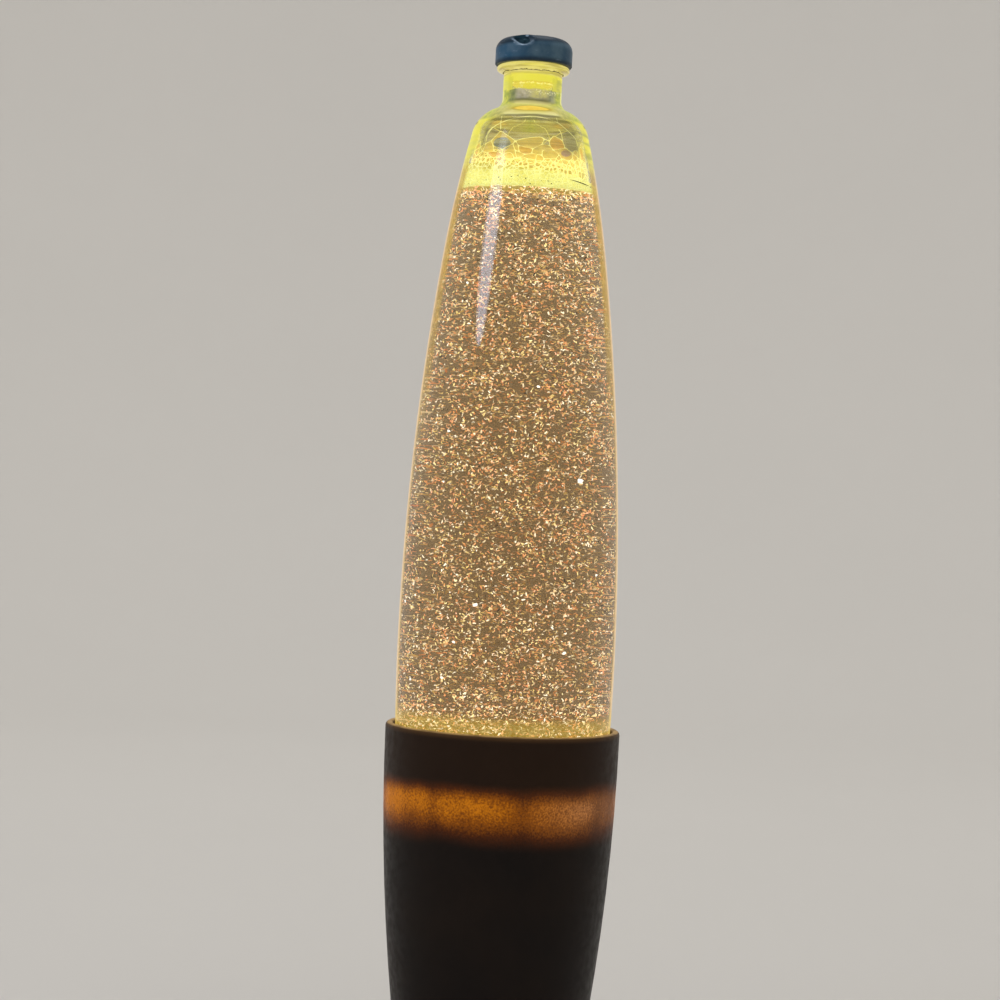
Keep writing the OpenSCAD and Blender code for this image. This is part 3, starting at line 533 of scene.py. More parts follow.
def glowTone(w):
    height = w.axis("Z")
    empty = height.rises(glass["foamTop"] - 0.008, glass["foamTop"] + 0.002)
    torn = height + (w.grain(250, 3.0) - 0.5) * 0.0034
    neck = height.rises(*glass["ringFoot"]) * torn.rises(*glass["tornHead"])
    tone = empty.blend(paintedWallGlow(w), neck.blend(paintedShoulderGlow(w), paintedNeckReflections(w)))
    # painted glow in the bead, in streaks
    ring = w.drawn(80, 80, 1300).rises(0.4, 0.6).blend((0.42, 0.33, 0.10), (0.74, 0.64, 0.24))
    return {"Emission Color": height.rises(*glass["bead"]).blend(tone, ring)}


def paintedLightTint(w):
    # painted light: the glass above the foam is tinted yellow, darker in streaks, as the lamp's light colours
    # it
    above = w.axis("Z").rises(glass["foamTop"] - 0.002, glass["foamTop"] + 0.004)
    tint = w.drawn(25, 25, 1500).rises(0.42, 0.62).blend((0.80, 0.75, 0.46), (0.92, 0.90, 0.66))
    return {"Base Color": above.blend(glass["clear"], tint)}


def smears(w):
    return {"Roughness": w.grain(60, 3.0).rises(0.45, 0.75, 0.0, 0.02)}


clearGlass = {
    "Base Color": glass["clear"], "Roughness": 0.0, "IOR": glass["index"], "Transmission Weight": 1.0,
}
glowing = {
    "Base Color": (0.10, 0.09, 0.02), "Roughness": 0.3, "Specular IOR Level": 0.2, "Emission Strength": 0.95,
}
glassPaint = material("bottle glass", clearGlass, smears, glass["lampRays"],
                      over=(glowShare, glowing, glowTone))
innerPaint = material("bottle glass inside", clearGlass, paintedLightTint, glass["lampRays"])


def glassBottle():
    outer = (arc(domeC, domeR, math.pi / 2, heading(Vector((domeEdge, 0)) - domeC))
             + arc(heelC, bottle["heel"], -math.pi / 2, lowA)[1:] + sidePoints(lowA, 0)[1:])
    fillet, beadR = bottle["beadFillet"], bottle["beadT"] / 2
    bead = arc(Vector((bottle["neckR"] + fillet, beadH - fillet)), fillet, math.pi, math.pi / 2)
    beadC = Vector((bottle["neckR"] + bottle["beadOut"] - beadR, beadH + beadR))
    bead += arc(beadC, beadR, -math.pi / 2, math.pi / 2)
    finish = [(mouthR - 1, beadH + bottle["beadT"]), (mouthR - 1, lipH - 4.4), (mouthR, lipH - 2.2)]
    finish += arc(Vector((mouthR - 1, lipH - 1)), 1.0, 0, math.pi / 2)
    bore = [(bottle["neckR"] - bottle["wall"], lipH)]
    outside = outer + bead + finish
    shape = lathe(lifted(outside + bore + innerPoints(0)[::-1]), steps=glass["steps"])
    piece = newPiece("bottle_glass", shape, glassPaint, "bottle", "glass_bottle", sharp=40)
    piece.data.materials.append(innerPaint)
    for face in piece.data.polygons[(len(outside) - 1) * glass["steps"]:]:
        face.material_index = 1


glassBottle()
print("glass bottle made")

# Liquid: wets the glass, so its skin lies a little inside the wall, with a meniscus at the top
liquid = {
    "wet": 0.25, "meniscus": 1.1, "top": (0.15, 0.4, 0.8, 1.4, 2.2, 3.4, 5.5), "lampRays": (0.98, 0.93, 0.80),
    "absorbs": {"Color": (0.40, 0.26, 0.02, 1), "Density": 36.0},
    "glows": {"Color": (0.108, 0.063, 0.015, 1), "Strength": 27.0},
}
# painted light: the liquid's volume glows, standing in for the lamp's light within it
liquidPaint = material(
    "amber liquid",
    {"Base Color": (1.0, 1.0, 1.0), "Roughness": 0.0, "IOR": 1.38, "Transmission Weight": 1.0},
    lampRays=liquid["lampRays"],
    volume=[("VolumeAbsorption", liquid["absorbs"]), ("Emission", liquid["glows"])])


def liquidFill():
    rise = liquid["meniscus"]
    skin = [(r, z) for r, z in lifted(innerPoints(-liquid["wet"])) if z < levelZ + rise]
    edge = skin[-1][0]
    top = [(edge - 0.05 - drop, levelZ + rise * math.exp(-drop / rise)) for drop in liquid["top"]]
    shape = lathe(skin + top + [(edge / 2, levelZ), (0, levelZ)], steps=160, closed=False)
    newPiece("liquid", shape, liquidPaint, "bottle", "liquid_fill", sharp=50)


liquidFill()
print("liquid filled")

# Glitter: thousands of small curled foil flakes, mostly lying flat, in a few finishes
glitter = {
    "count": 30000, "length": (0.38, 0.98), "width": (0.16, 0.38), "thick": 0.05, "tilt": 58, "seed": 5,
    "low": 9.5, "high": 0.8, "heel": 16, "underFoam": 70,
}


def flake(rng, centre, length, width, outwards=None):
    # A curled leaf of foil: length and width are measured from its middle, and its rim is sharp
    tilt = math.radians(min(89, abs(rng.gauss(0, glitter["tilt"]))))
    turn = (Matrix.Rotation(rng.uniform(0, tau), 3, "Z") @ Matrix.Rotation(tilt, 3, rng.choice("XY"))
            @ Matrix.Rotation(rng.uniform(0, tau), 3, "Z"))
    if outwards is not None:  # lies flat against the glass at this turn
        turn = (Matrix.Rotation(outwards, 3, "Z") @ Matrix.Rotation(math.pi / 2, 3, "X")
                @ Matrix.Rotation(rng.uniform(-0.4, 0.4), 3, "Z"))
    curl, bow = rng.gauss(0, 0.55), rng.gauss(0, 0.35)
    points = []
    for k in range(6):
        angle = tau * (k + rng.uniform(-0.15, 0.15)) / 6
        x, y = math.cos(angle), math.sin(angle)
        points.append(Vector((x * length, y * width + bow * width * x * x, curl * length * (x * x - 0.4))))
    heart, half = Vector((0, 0, -0.4 * curl * length)), Vector((0, 0, glitter["thick"]))
    points += [heart + half, heart - half]
    faces = [(k, (k + 1) % 6, 6) for k in range(6)] + [((k + 1) % 6, k, 7) for k in range(6)]
    return [tuple((centre + turn @ p) * mm) for p in points], faces


def foilPaint(name, strength, *stops, roughness=0.3):
    def varied(w):
        chance = w.node("NewGeometry", out="Random Per Island")
        # painted light: the flakes glow in their own colours, brighter low down near the bulb
        low = w.axis("Z").rises(0.240, 0.126, 0.0, 0.20)
        tone = (chance * 0.9 + w.grain(42) * 0.5 - 0.19 + low).ramp(*stops)
        patch = w.drawn(96, 96, 80, 2.0).rises(0.54, 0.66, 0.0, 0.70)
        tone = patch.blend(tone, (0.80, 0.27, 0.11))
        return {"Base Color": tone, "Emission Color": tone}
    return material(name, {"Metallic": 0.55, "Roughness": roughness, "Emission Strength": strength}, varied)


foils = {  # the share of the flakes and their paint
    "gold": (0.34, foilPaint("gold foil", 1.50, (0.0, (0.40, 0.27, 0.09)), (0.4, (0.74, 0.55, 0.19)),
                             (0.7, (0.94, 0.77, 0.36)), (1.0, (0.97, 0.86, 0.50)))),
    "copper": (0.29, foilPaint("copper foil", 1.46, (0.0, (0.36, 0.13, 0.045)), (0.5, (0.88, 0.38, 0.15)),
                               (1.0, (0.96, 0.60, 0.34)))),
    "pale": (0.32, foilPaint("pale foil", 1.55, (0.0, (0.50, 0.41, 0.27)), (0.5, (0.92, 0.80, 0.58)),
                             (1.0, (0.97, 0.92, 0.78)), roughness=0.2)),
    "dark": (0.05, foilPaint("dark foil", 0.2, (0.0, (0.004, 0.003, 0.002)), (1.0, (0.05, 0.035, 0.02)))),
}


def glitterFlakes():
    rng = random.Random(glitter["seed"])
    heaps = {name: [] for name in foils}
    names = list(foils)
    weights = [foils[name][0] for name in names]
    low, high, heel = bottleZ + glitter["low"], levelZ - glitter["high"], bottleZ + glitter["heel"]
    made = 0
    while made < glitter["count"]:
        deep = rng.random()
        z = low + (high - low) * (deep ** 1.10 if rng.random() < 0.88 else deep ** 4 * 0.2)
        reach = innerRadius(z) - 1.1
        if z < heel:
            reach -= (heel - z) * 0.7
        r = reach * math.sqrt(rng.random()) if rng.random() < 0.55 else reach * rng.uniform(0.82, 1.0)
        clings = made % glitter["underFoam"] == 0
        if clings:  # hangs just under the foam
            z = levelZ - 1.2 - 4.5 * rng.random()
            r = (innerRadius(z) - 0.9) * rng.uniform(0.80, 1.0)
        centre = onCircle(r, rng.uniform(0, tau), z)
        crowd = noise.noise(centre * 0.12) + 0.5 * noise.noise(centre * 0.31)
        if not clings and crowd < rng.uniform(-0.50, 0.24):
            continue  # they drift in clumps
        made += 1
        name = rng.choices(names, weights)[0]
        length, width = rng.uniform(*glitter["length"]), rng.uniform(*glitter["width"])
        heaps[name].append(flake(rng, centre, length, width))
    for name in names:
        newPiece("glitter_" + name, joined(heaps[name]), foils[name][1], "bottle",
                 "glitter_flakes" if name == "gold" else None, sharp=0)


# painted glints: these flakes glow pale, standing in for light thrown at the viewer
def sparkTones(w):
    return {"Base Color": w.grain(90).blend((1.0, 0.93, 0.78), (0.93, 0.95, 1.0)),
            "Emission Color": w.grain(90).blend((1.0, 0.90, 0.70), (0.92, 0.95, 1.0))}


sparkPaint = material(
    "bright foil", {"Metallic": 0.2, "Roughness": 0.2, "Emission Strength": 1.3}, sparkTones)
sparks = {  # bearing in degrees, height and length of each flake that shows a painted glint
    "front": ((40.6, 251.4, 2.8), (-18.4, 200.6, 2.0), (33.0, 183.0, 1.8), (55.0, 214.0, 1.4),
              (-75.0, 199.5, 1.8), (-37.0, 171.0, 1.4), (12.0, 288.0, 1.4)),
    "seed": 8, "other": 22,
}


def brightFlakes():
    rng = random.Random(sparks["seed"])
    spots = list(sparks["front"])
    for _ in range(sparks["other"]):
        spots.append((rng.uniform(60, 330), rng.uniform(bottleZ + 14, levelZ - 6), rng.uniform(1.0, 1.7)))
    parts = []
    for bearing, z, length in spots:
        turn = math.radians(bearing)
        centre = onCircle(innerRadius(z) - 1.6, turn, z)
        parts.append(flake(rng, centre, length * 0.55, length * 0.36, turn))
    newPiece("glitter_sparks", joined(parts), sparkPaint, "bottle", sharp=20)


glitterFlakes()
brightFlakes()
print("glitter scattered")

# Foam: a dense bright layer on the liquid and, against the glass above it, a net of bubble walls. The large
# front bubbles stand where the photograph shows them: corners are (x, height over the liquid) on the glass.
# The same bubbles stand twice more round the bottle, turned by so many degrees and squeezed or mirrored
foam = {
    "dense": 6.2, "sunk": 1.7, "strut": 0.50,
    "mound": ((0, 1.0, -2.5), (1, 1.0, 0.6), (4, 1.1, 3.4), (6, 1.6, 5.8), (7.5, 3.2, 7.4)),
    "moundTop": ((15.5, 8.5), (12, 9.2), (8, 9.6), (4, 9.9), (0, 10)),
    "rows": ((-0.6, 1.9), (0.9, 2.2), (2.6, 2.7), (4.7, 3.4), (7.3, 4.4), (10.6, 5.4)),
    "sets": {"front": (0, 1.0), "left": (124, -0.93), "right": (238, 0.88)},  # turn, squeeze
    "nets": {  # seed, wall radius, lift, inset and strut of the layers of small cells
        "low": (21, 23.8, 1.0, 0.1, 0.36), "inner": (22, 21.0, 0.8, 2.0, 0.26),
    },
    "corners": {
        1: (-12.0, 20.8), 2: (-15.6, 16.8), 3: (-14.9, 14.6), 4: (-11.0, 12.9), 5: (-7.0, 15.3),
        6: (-5.9, 16.4), 7: (-3.4, 17.4), 8: (4.2, 18.6), 9: (5.6, 17.8), 10: (4.7, 15.5),
        11: (1.1, 13.4), 12: (-2.5, 14.1), 13: (-4.7, 14.6), 14: (0.7, 11.6), 15: (-1.8, 11.0),
        16: (-4.3, 11.9), 17: (7.6, 17.0), 18: (9.2, 19.5), 19: (12.9, 17.9), 20: (14.1, 15.0),
        21: (9.4, 13.5), 22: (7.9, 15.3), 23: (11.9, 11.9), 24: (17.3, 13.2), 25: (17.4, 11.2),
        26: (15.9, 9.6), 27: (13.0, 10.0), 28: (-5.9, 12.5), 29: (-5.2, 9.3), 30: (-9.2, 9.1),
        31: (-11.0, 11.2), 32: (-16.9, 11.9), 33: (-14.4, 12.3), 34: (-12.4, 9.7), 35: (-16.7, 9.8),
        36: (-17.8, 15.8), 37: (-20.0, 14.5), 38: (-19.1, 12.6), 39: (-22.6, 13.0), 40: (-21.8, 10.8),
        41: (5.1, 13.2), 42: (4.9, 10.9), 43: (6.7, 8.6), 44: (10.1, 8.6), 45: (11.0, 10.8),
        46: (19.5, 11.7), 47: (20.4, 8.5), 48: (18.6, 6.6), 49: (16.6, 7.9), 50: (22.7, 10.2),
        51: (23.4, 6.6), 52: (-14.1, 17.7), 53: (-9.6, 18.2), 54: (-7.4, 15.6), 55: (-9.3, 12.8),
        56: (-12.9, 13.0), 57: (-15.0, 15.2), 58: (12.6, 13.3), 59: (14.6, 14.4), 60: (16.7, 13.5),
        61: (16.3, 11.9), 62: (14.3, 11.2), 63: (12.6, 11.9),
    },
    "cells": (
        ((1, 2, 3, 4, 5, 6), "amber"), ((6, 7, 8, 9, 10, 11, 12, 13), "amber"),
        ((13, 12, 11, 14, 15, 16), "orange"), ((5, 6, 13, 16, 28), "amber"),
        ((4, 5, 28, 29, 30, 31), "amber"), ((9, 17, 22, 10), None), ((17, 18, 19, 20, 21, 22), "orange"),
        ((10, 22, 21, 41, 42, 14, 11), "amber"), ((41, 21, 23, 45, 44, 43, 42), "amber"),
        ((21, 20, 24, 25, 26, 27, 23), "amber"), ((45, 23, 27, 26, 49, 44), "amber"),
        ((24, 46, 47, 48, 49, 26, 25), None), ((46, 50, 51, 47), None), ((33, 32, 35, 34, 31), "orange"),
        ((3, 2, 36, 38, 32, 33), "amber"), ((36, 37, 38), None), ((37, 39, 40, 38), None),
        ((3, 33, 31, 4), None), ((28, 16, 15, 29), "amber"), ((15, 14, 42, 43, 29), "amber"),
    ),
    "blobs": (((57, 56, 55, 54, 53, 52), "grey"), ((58, 59, 60, 61, 62, 63), "rose")),
    "specks": ((-6.8, 1.7), (-4.3, 2.1), (-1.2, 1.1), (0.7, -1.0), (5.0, 0.7), (7.8, 0.5), (9.1, -0.4),
               (12.0, 0.7), (-16.7, 0.4), (-11.9, 1.4)),
    "speckSeed": 17, "otherSpecks": 26,
    "meniscusShade": ((16.6, 2.1), (18.4, 2.0), (20.1, 1.7), (22.4, 1.3), (24.4, 0.9), (25.6, 0.3)),
    "meniscusShadeR": (0.06, 0.16, 0.22, 0.24, 0.20, 0.06),
    "threads": (
        ((-18.0, 15.8), (-18.3, 18.0), (-15.3, 22.4), (-12.1, 24.1), (-5.8, 26.1), (0.7, 26.8),
         (5.9, 26.3), (10.5, 25.1), (14.7, 22.4), (18.4, 19.4), (19.2, 16.2)),
        ((-12.1, 24.1), (-11.6, 27.6), (-10.6, 31.0), (-8.9, 34.0)),
        ((10.5, 25.1), (9.2, 29.6), (7.6, 32.4), (6.8, 34.5)),
        ((-12.1, 24.1), (-12.0, 20.8)), ((-15.3, 22.4), (-17.2, 20.6), (-17.8, 15.8)),
        ((12.9, 17.9), (12.2, 21.0), (10.9, 22.6)),
    ),
    "netFilms": ((0.75, 0.16), (0.45, 0.30), (0.18, 0.36)), "blobFilms": ((0.7, 0.08), (0.35, 0.15)),
}

matt = {"Roughness": 0.5, "Emission Strength": 1.0, "Specular IOR Level": 0.2}
wallLook = {"Roughness": 0.2, "Emission Strength": 1.0, "Base Color": (0.46, 0.43, 0.16)}


def denseTones(w):
    # Painted glow: bright bubble walls round deeper-coloured bubbles, which show more towards the top, where
    # the glow is painted darker amber
    walls = w.cells(520, "DISTANCE_TO_EDGE").rises(0.03, 0.17)
    upper = w.axis("Z") + (w.grain(160) - 0.5) * 0.004
    upper = upper.rises((levelZ + 3.2) * mm, (levelZ + 6.6) * mm)
    tone = walls * (upper * 0.40 + 0.48) + w.grain(150, 3.0).rises(0.40, 0.70) * 0.35
    low = tone.blend((0.80, 0.79, 0.27), (0.64, 0.58, 0.11))
    high = tone.blend((0.92, 0.88, 0.33), (0.33, 0.235, 0.034))
    return {"Base Color": tone.blend((0.58, 0.57, 0.17), (0.50, 0.46, 0.085)),
            "Emission Color": upper.blend(low, high), "Height": (walls, 0.0004)}


def moundTones(w):
    # painted glow: yellow low down, darker amber higher up
    walls = w.cells(460, "DISTANCE_TO_EDGE")
    height = w.axis("Z") + (w.grain(240) - 0.5) * 0.004
    line = walls.rises(0.03, 0.15) * 0.85 + w.grain(150, 3.0).rises(0.40, 0.70) * 0.15
    low = line.blend((0.88, 0.80, 0.25), (0.40, 0.28, 0.040))
    high = line.blend((0.90, 0.76, 0.22), (0.36, 0.25, 0.036))
    tone = height.rises((levelZ + 8.0) * mm, (levelZ + 13.0) * mm).blend(low, high)
    return {"Base Color": line.blend((0.50, 0.44, 0.10), (0.34, 0.24, 0.04)),
            "Emission Color": tone, "Height": (walls, 0.0005)}


# The bubble walls and the film edges glow: painted light
def netTones(w):
    return {"Emission Color": w.grain(220).blend((0.98, 0.94, 0.36), (0.86, 0.76, 0.20))}


def threadTones(w):
    return {"Emission Color": w.grain(160).rises(0.35, 0.65).blend((0.80, 0.78, 0.30), (0.66, 0.58, 0.19))}


def speckTones(w):
    return {"Base Color": w.grain(400).blend((0.05, 0.045, 0.006), (0.16, 0.14, 0.02))}


def filmPaint(name, tone, cover, glint=None):
    def varied(w):
        # painted light: the film glows in its tint, darker in patches, and a glint paints spots of reflected
        # sky
        lit = w.grain(260).blend([c * 0.85 for c in tone], [c * 0.40 for c in tone])
        if glint:
            lit = (w.cells(700).rises(0.42, 0.16) * w.grain(330).rises(0.46, 0.56)).blend(lit, glint)
        return {"Base Color": w.grain(260).blend(tone, [c * 0.8 for c in tone]), "Emission Color": lit,
                "Alpha": w.grain(200).rises(0.2, 0.8, cover - 0.15, cover + 0.08)}
    return material(name, {"Roughness": 0.1, "Emission Strength": 1.0, "Specular IOR Level": 0.5}, varied)


foamPaint = material("dense foam", matt, denseTones)
moundPaint = material("foam mound", matt, moundTones)
netPaint = material("bubble walls", wallLook, netTones)
threadPaint = material("film edges", wallLook, threadTones)
speckPaint = material("dark specks", {"Roughness": 0.5}, speckTones)
films = {
    "amber": filmPaint("amber film", (0.80, 0.57, 0.10), 0.66),
    "gold": filmPaint("gold film", (0.76, 0.62, 0.11), 0.55),
    "orange": filmPaint("orange film", (0.74, 0.41, 0.065), 0.80),
    "grey": filmPaint("blue grey film", (0.13, 0.18, 0.21), 0.92, (0.60, 0.68, 0.72)),
    "rose": filmPaint("rose film", (0.42, 0.26, 0.20), 0.88, (0.80, 0.62, 0.55)),
}


def denseFoam():
    sunk, top = levelZ - foam["sunk"], levelZ + foam["dense"]

    def bumpy(r, z, turn):
        if z < levelZ - 0.5:
            return r, z + 0.5 * noise.noise(Vector((math.sin(turn), math.cos(turn), 0)) * 7)
        if z < levelZ + 2:
            return r, z
        spot = Vector((r * math.sin(turn), r * math.cos(turn), 0)) * 0.35
        share = (z - levelZ) / foam["dense"]
        tip = -2.6 * math.cos(turn - math.radians(80)) * r / 25  # lower at the front's right
        return r, z + share * (tip + 0.8 * noise.noise(spot) + 0.6 * noise.noise(spot * 3.1))

    points = [(0, levelZ + 0.05), (innerRadius(sunk) - 3.0, levelZ - 0.3)]
    points += [(innerRadius(sunk) - 1.2, sunk - 0.2)]
    for rise in (-1.6, 0, 1.5, 2.9, 4.1, 5.3):
        points.append((innerRadius(levelZ + rise) + liquid["wet"] + 0.1, levelZ + rise))
    points += [((innerRadius(top) - 0.3) * k / 24, top) for k in range(24, 0, -1)] + [(0, top)]
    shape = lathe(points, steps=192, closed=False, warp=bumpy)
    newPiece("foam_dense", shape, foamPaint, "bottle", "foam_head", sharp=0)

    def heaped(r, z, turn):
        spot = Vector((r * math.sin(turn), r * math.cos(turn), 3)) * 0.22
        side = 0.5 + 0.5 * math.cos(turn - math.radians(78))
        share = max(0, z - top) / 8
        lumps = 1.6 * noise.noise(spot) + 0.9 * noise.noise(spot * 3)
        return r, z + share * (lumps - 5.5 * side * (r / 19) ** 2)

    points = [(innerRadius(top + at) - gap, top + rise) for at, gap, rise in foam["mound"]]
    points += [(r, top + rise) for r, rise in foam["moundTop"]]
    shape = lathe(points, steps=160, closed=False, warp=heaped)
    newPiece("foam_mound", shape, moundPaint, "bottle", sharp=0)


def foamCells(rng, wall, lift):
    # Cells of a foam against a wall of this radius: the dual of a triangle mesh over scattered seeds
    around = tau * wall
    seeds = []
    for height, spacing in foam["rows"]:
        count = max(6, round(around / spacing))
        for i in range(count):
            u = around * (i + rng.uniform(0.12, 0.88)) / count
            crest = 2.2 * noise.noise(Vector((math.cos(u / wall), math.sin(u / wall), lift)) * 1.7)
            seeds.append((u, height * lift + crest * height / 9 + rng.uniform(-0.3, 0.3) * spacing))
    edge = [(around * i / 24, -2.5) for i in range(24)]
    edge += [(around * (i + 0.5) / 26, 17.0 * lift) for i in range(26)]
    known = [(shift == 0 and i < len(seeds), Vector((u + shift, v)))
             for shift in (-around, 0, around) for i, (u, v) in enumerate(seeds + edge)
             if -around / 4 < u + shift < around * 1.25]
    meshed = delaunay_2d_cdt([spot for _, spot in known], [], [], 0, 1e-6)
    points, triangles, origins = meshed[0], meshed[2], meshed[3]
    centres, rings = [], {}
    for t, corners in enumerate(triangles):
        (ax, ay), (bx, by), (cx, cy) = [points[c] for c in corners]
        d = 2 * (ax * (by - cy) + bx * (cy - ay) + cx * (ay - by))
        a2, b2, c2 = ax * ax + ay * ay, bx * bx + by * by, cx * cx + cy * cy
        centres.append(((a2 * (by - cy) + b2 * (cy - ay) + c2 * (ay - by)) / d,
                        (a2 * (cx - bx) + b2 * (ax - cx) + c2 * (bx - ax)) / d))
        for corner in corners:
            rings.setdefault(corner, []).append(t)
    cells = []
    for corner, ring in rings.items():
        x, y = points[corner]
        if not (origins[corner] and known[origins[corner][0]][0]) or y < -1.5:
            continue
        ring.sort(key=lambda t: math.atan2(centres[t][1] - y, centres[t][0] - x))
        outline = [centres[t] for t in ring]
        if len(outline) > 2 and all(abs(py - y) < 8 and abs(px - x) < 8 for px, py in outline):
            front = abs(math.remainder(x / wall, tau)) < math.radians(66)
            if y < (3.4 if front else 12):
                placed = [(u / wall, levelZ + foam["dense"] + v) for u, v in outline]
                cells.append((placed, "gold" if rng.random() < 0.30 else None))
    return cells


def seenTurn(x, z):
    # Turn about the axis at which a spot on the inner face is seen at x through the glass
    inner, outer = innerRadius(z), innerRadius(z) + bottle["wall"]
    x = max(-outer * 0.985, min(outer * 0.985, x))
    refracted = math.asin(max(-1, min(1, x / inner / glass["index"])))
    return math.asin(x / outer) - math.asin(x / outer / glass["index"]) + refracted


def onGlass(x, height, turn=0.0, inset=0.05):
    # A spot on the inner face, from where it is seen at the front
    z = levelZ + height
    return onCircle(innerRadius(z) - inset, seenTurn(x, z) + math.radians(turn), z)


def photoCells(degrees, squeeze):
    turn = math.radians(degrees)
    corners = {key: (seenTurn(x * squeeze, levelZ + h) + turn, levelZ + h)
               for key, (x, h) in foam["corners"].items()}
    return [([corners[key] for key in keys], tint) for keys, tint in foam["cells"]]


def film(ring, levels, bulge=None, unit=1.0):
    # A film over a ring of corners: it narrows in levels of (width, depth) and bulges away from the glass
    middle = sum(ring, Vector()) / len(ring)
    inwards = Vector((-middle.x, -middle.y, 0)).normalized()
    inwards *= bulge or min((v - middle).length for v in ring)
    count = len(ring)
    verts, faces = list(ring), []
    for level, (share, depth) in enumerate(levels):
        verts += [middle + (v - middle) * share + inwards * depth for v in ring]
        a, b = level * count, (level + 1) * count
        for i in range(count):
            j = (i + 1) % count
            faces.append((a + i, a + j, b + j, b + i))
    faces.append(tuple(range(len(levels) * count, len(verts))))
    return [tuple(v * unit) for v in verts], faces


def bubbleNet(name, cells, inset, thick):
    work = bmesh.new()
    found, tints = {}, {}

    def corner(turn, z):
        spot = onCircle(innerRadius(z) - inset, turn, z) * mm
        key = tuple(round(x / 2e-5) for x in spot)
        if key not in found:
            found[key] = work.verts.new(spot)
        return found[key]

    for outline, tint in cells:
        ring = []
        for here, there in zip(outline, outline[1:] + outline[:1]):
            length = math.hypot((there[0] - here[0]) * 22, there[1] - here[1])
            steps = max(1, min(5, round(length / 1.1)))
            (turn, z), (nextTurn, nextZ) = sorted((here, there))  # both cells split a shared wall alike
            for k in range(steps):
                share = k / steps if (turn, z) == here else 1 - k / steps
                spot = corner(turn + (nextTurn - turn) * share, z + (nextZ - z) * share)
                if not ring or ring[-1] is not spot:
                    ring.append(spot)
        if len(ring) > 1 and ring[0] is ring[-1]:
            ring.pop()
        if len(set(ring)) == len(ring) > 2 and not work.faces.get(ring):
            face = work.faces.new(ring)
            if tint:
                tints.setdefault(tint, []).append([v.co.copy() for v in face.verts])
    for tint, rings in tints.items():
        shape = joined([film(ring, foam["netFilms"]) for ring in rings])
        newPiece(name + "_" + tint, shape, films[tint], "bottle", sharp=0)
    bmesh.ops.recalc_face_normals(work, faces=work.faces)
    mesh = bpy.data.meshes.new(name)
    work.to_mesh(mesh)
    work.free()
    net = addPiece(name, mesh, netPaint, "bottle", sharp=0)
    wire = net.modifiers.new("walls", "WIREFRAME")
    wire.thickness, wire.use_even_offset, wire.use_boundary = thick * mm, False, True
    smoothed = net.modifiers.new("rounded", "SUBSURF")
    smoothed.levels = smoothed.render_levels = 1


def foamBlobs():
    # Thin films inside the large bubbles, glowing, with a painted reflection of the sky
    for keys, tint in foam["blobs"]:
        parts = []
        for turn, squeeze in foam["sets"].values():
            spots = [foam["corners"][key] for key in keys]
            ring = [onGlass(x * squeeze, h, turn, 0.02) for x, h in spots]
            for _ in range(2):  # rounds the corners
                pairs = list(zip(ring, ring[1:] + ring[:1]))
                ring = [a * 0.75 + b * 0.25 for p, q in pairs for a, b in ((p, q), (q, p))]
            parts.append(film(ring, foam["blobFilms"], 1.0, mm))
        newPiece("foam_blobs_" + tint, joined(parts), films[tint], "bottle", sharp=0)


def foamThreads():
    # Edges of the large films that still cling to the shoulder and the neck
    parts = []
    for turn, squeeze in foam["sets"].values():
        for line in foam["threads"]:
            spots = []
            for (x0, h0), (x1, h1) in zip(line, line[1:]):
                for k in range(6):
                    x, h = (x0 + (x1 - x0) * k / 6) * squeeze, h0 + (h1 - h0) * k / 6
                    spots.append(onGlass(x, h, turn, -0.3))
            for _ in range(3):  # smooths the line
                between = [(a + b * 2 + c) / 4 for a, b, c in zip(spots, spots[1:], spots[2:])]
                spots = spots[:1] + between + spots[-1:]
            parts.append(tube(spots, [0.17] * len(spots)))
    newPiece("foam_threads", joined(parts), threadPaint, "bottle", sharp=0)


def foamSpecks():
    # Dark specks along the foam's lower edge, and at the right a dark line of painted shade along the
    # liquid's meniscus
    rng = random.Random(foam["speckSeed"])
    spots = [onGlass(x, h, inset=-0.38) for x, h in foam["meniscusShade"]]
    parts = [tube(spots, foam["meniscusShadeR"], sides=6)]
    places = [(x, h, 0.0) for x, h in foam["specks"]]
    for _ in range(foam["otherSpecks"]):
        places.append((rng.uniform(-22, 22), rng.uniform(-1, 2.2), rng.uniform(70, 290)))
    for x, h, turn in places:
        centre = onGlass(x, h, turn, inset=-0.40)
        outwards = math.atan2(centre.x, -centre.y)
        parts.append(flake(rng, centre, rng.uniform(0.22, 0.50), rng.uniform(0.14, 0.26), outwards))
    newPiece("foam_specks", joined(parts), speckPaint, "bottle", sharp=0)


denseFoam()
for side, (degrees, squeeze) in foam["sets"].items():
    bubbleNet("foam_net_" + side, photoCells(degrees, squeeze), 0.0, foam["strut"])
for layer, (seed, wall, lift, inset, strut) in foam["nets"].items():
    bubbleNet("foam_net_" + layer, foamCells(random.Random(seed), wall, lift), inset, strut)
foamBlobs()
foamThreads()
foamSpecks()
print("foam raised")

# Stopper: a soft yellow plug pressed into the neck, glowing with painted light; its end is a little uneven
# and small bubbles cling to it
plug = {"length": 15.6, "press": 0.12, "edge": 0.9, "wave": 0.7, "bubbles": 64, "inFront": 34, "seed": 14}


def stopperTones(w):
    # painted light: the plug glows yellow, orange towards its lower end
    tone = w.drawn(110, 110, 260, 4.0).rises(0.35, 0.65) * 0.16 + w.axis("Z").rises(0.4142, 0.4126) * 0.8
    return {"Base Color": w.grain(90, 4.0).blend((0.42, 0.38, 0.07), (0.48, 0.44, 0.10)),
            "Emission Color": tone.blend((0.64, 0.61, 0.050), (0.66, 0.44, 0.060)),
            "Height": (w.grain(700, 3.0), 0.00006)}


stopperPaint = material(
    "stopper plastic", {"Roughness": 0.35, "Emission Strength": 1.0, "Specular IOR Level": 0.3}, stopperTones)


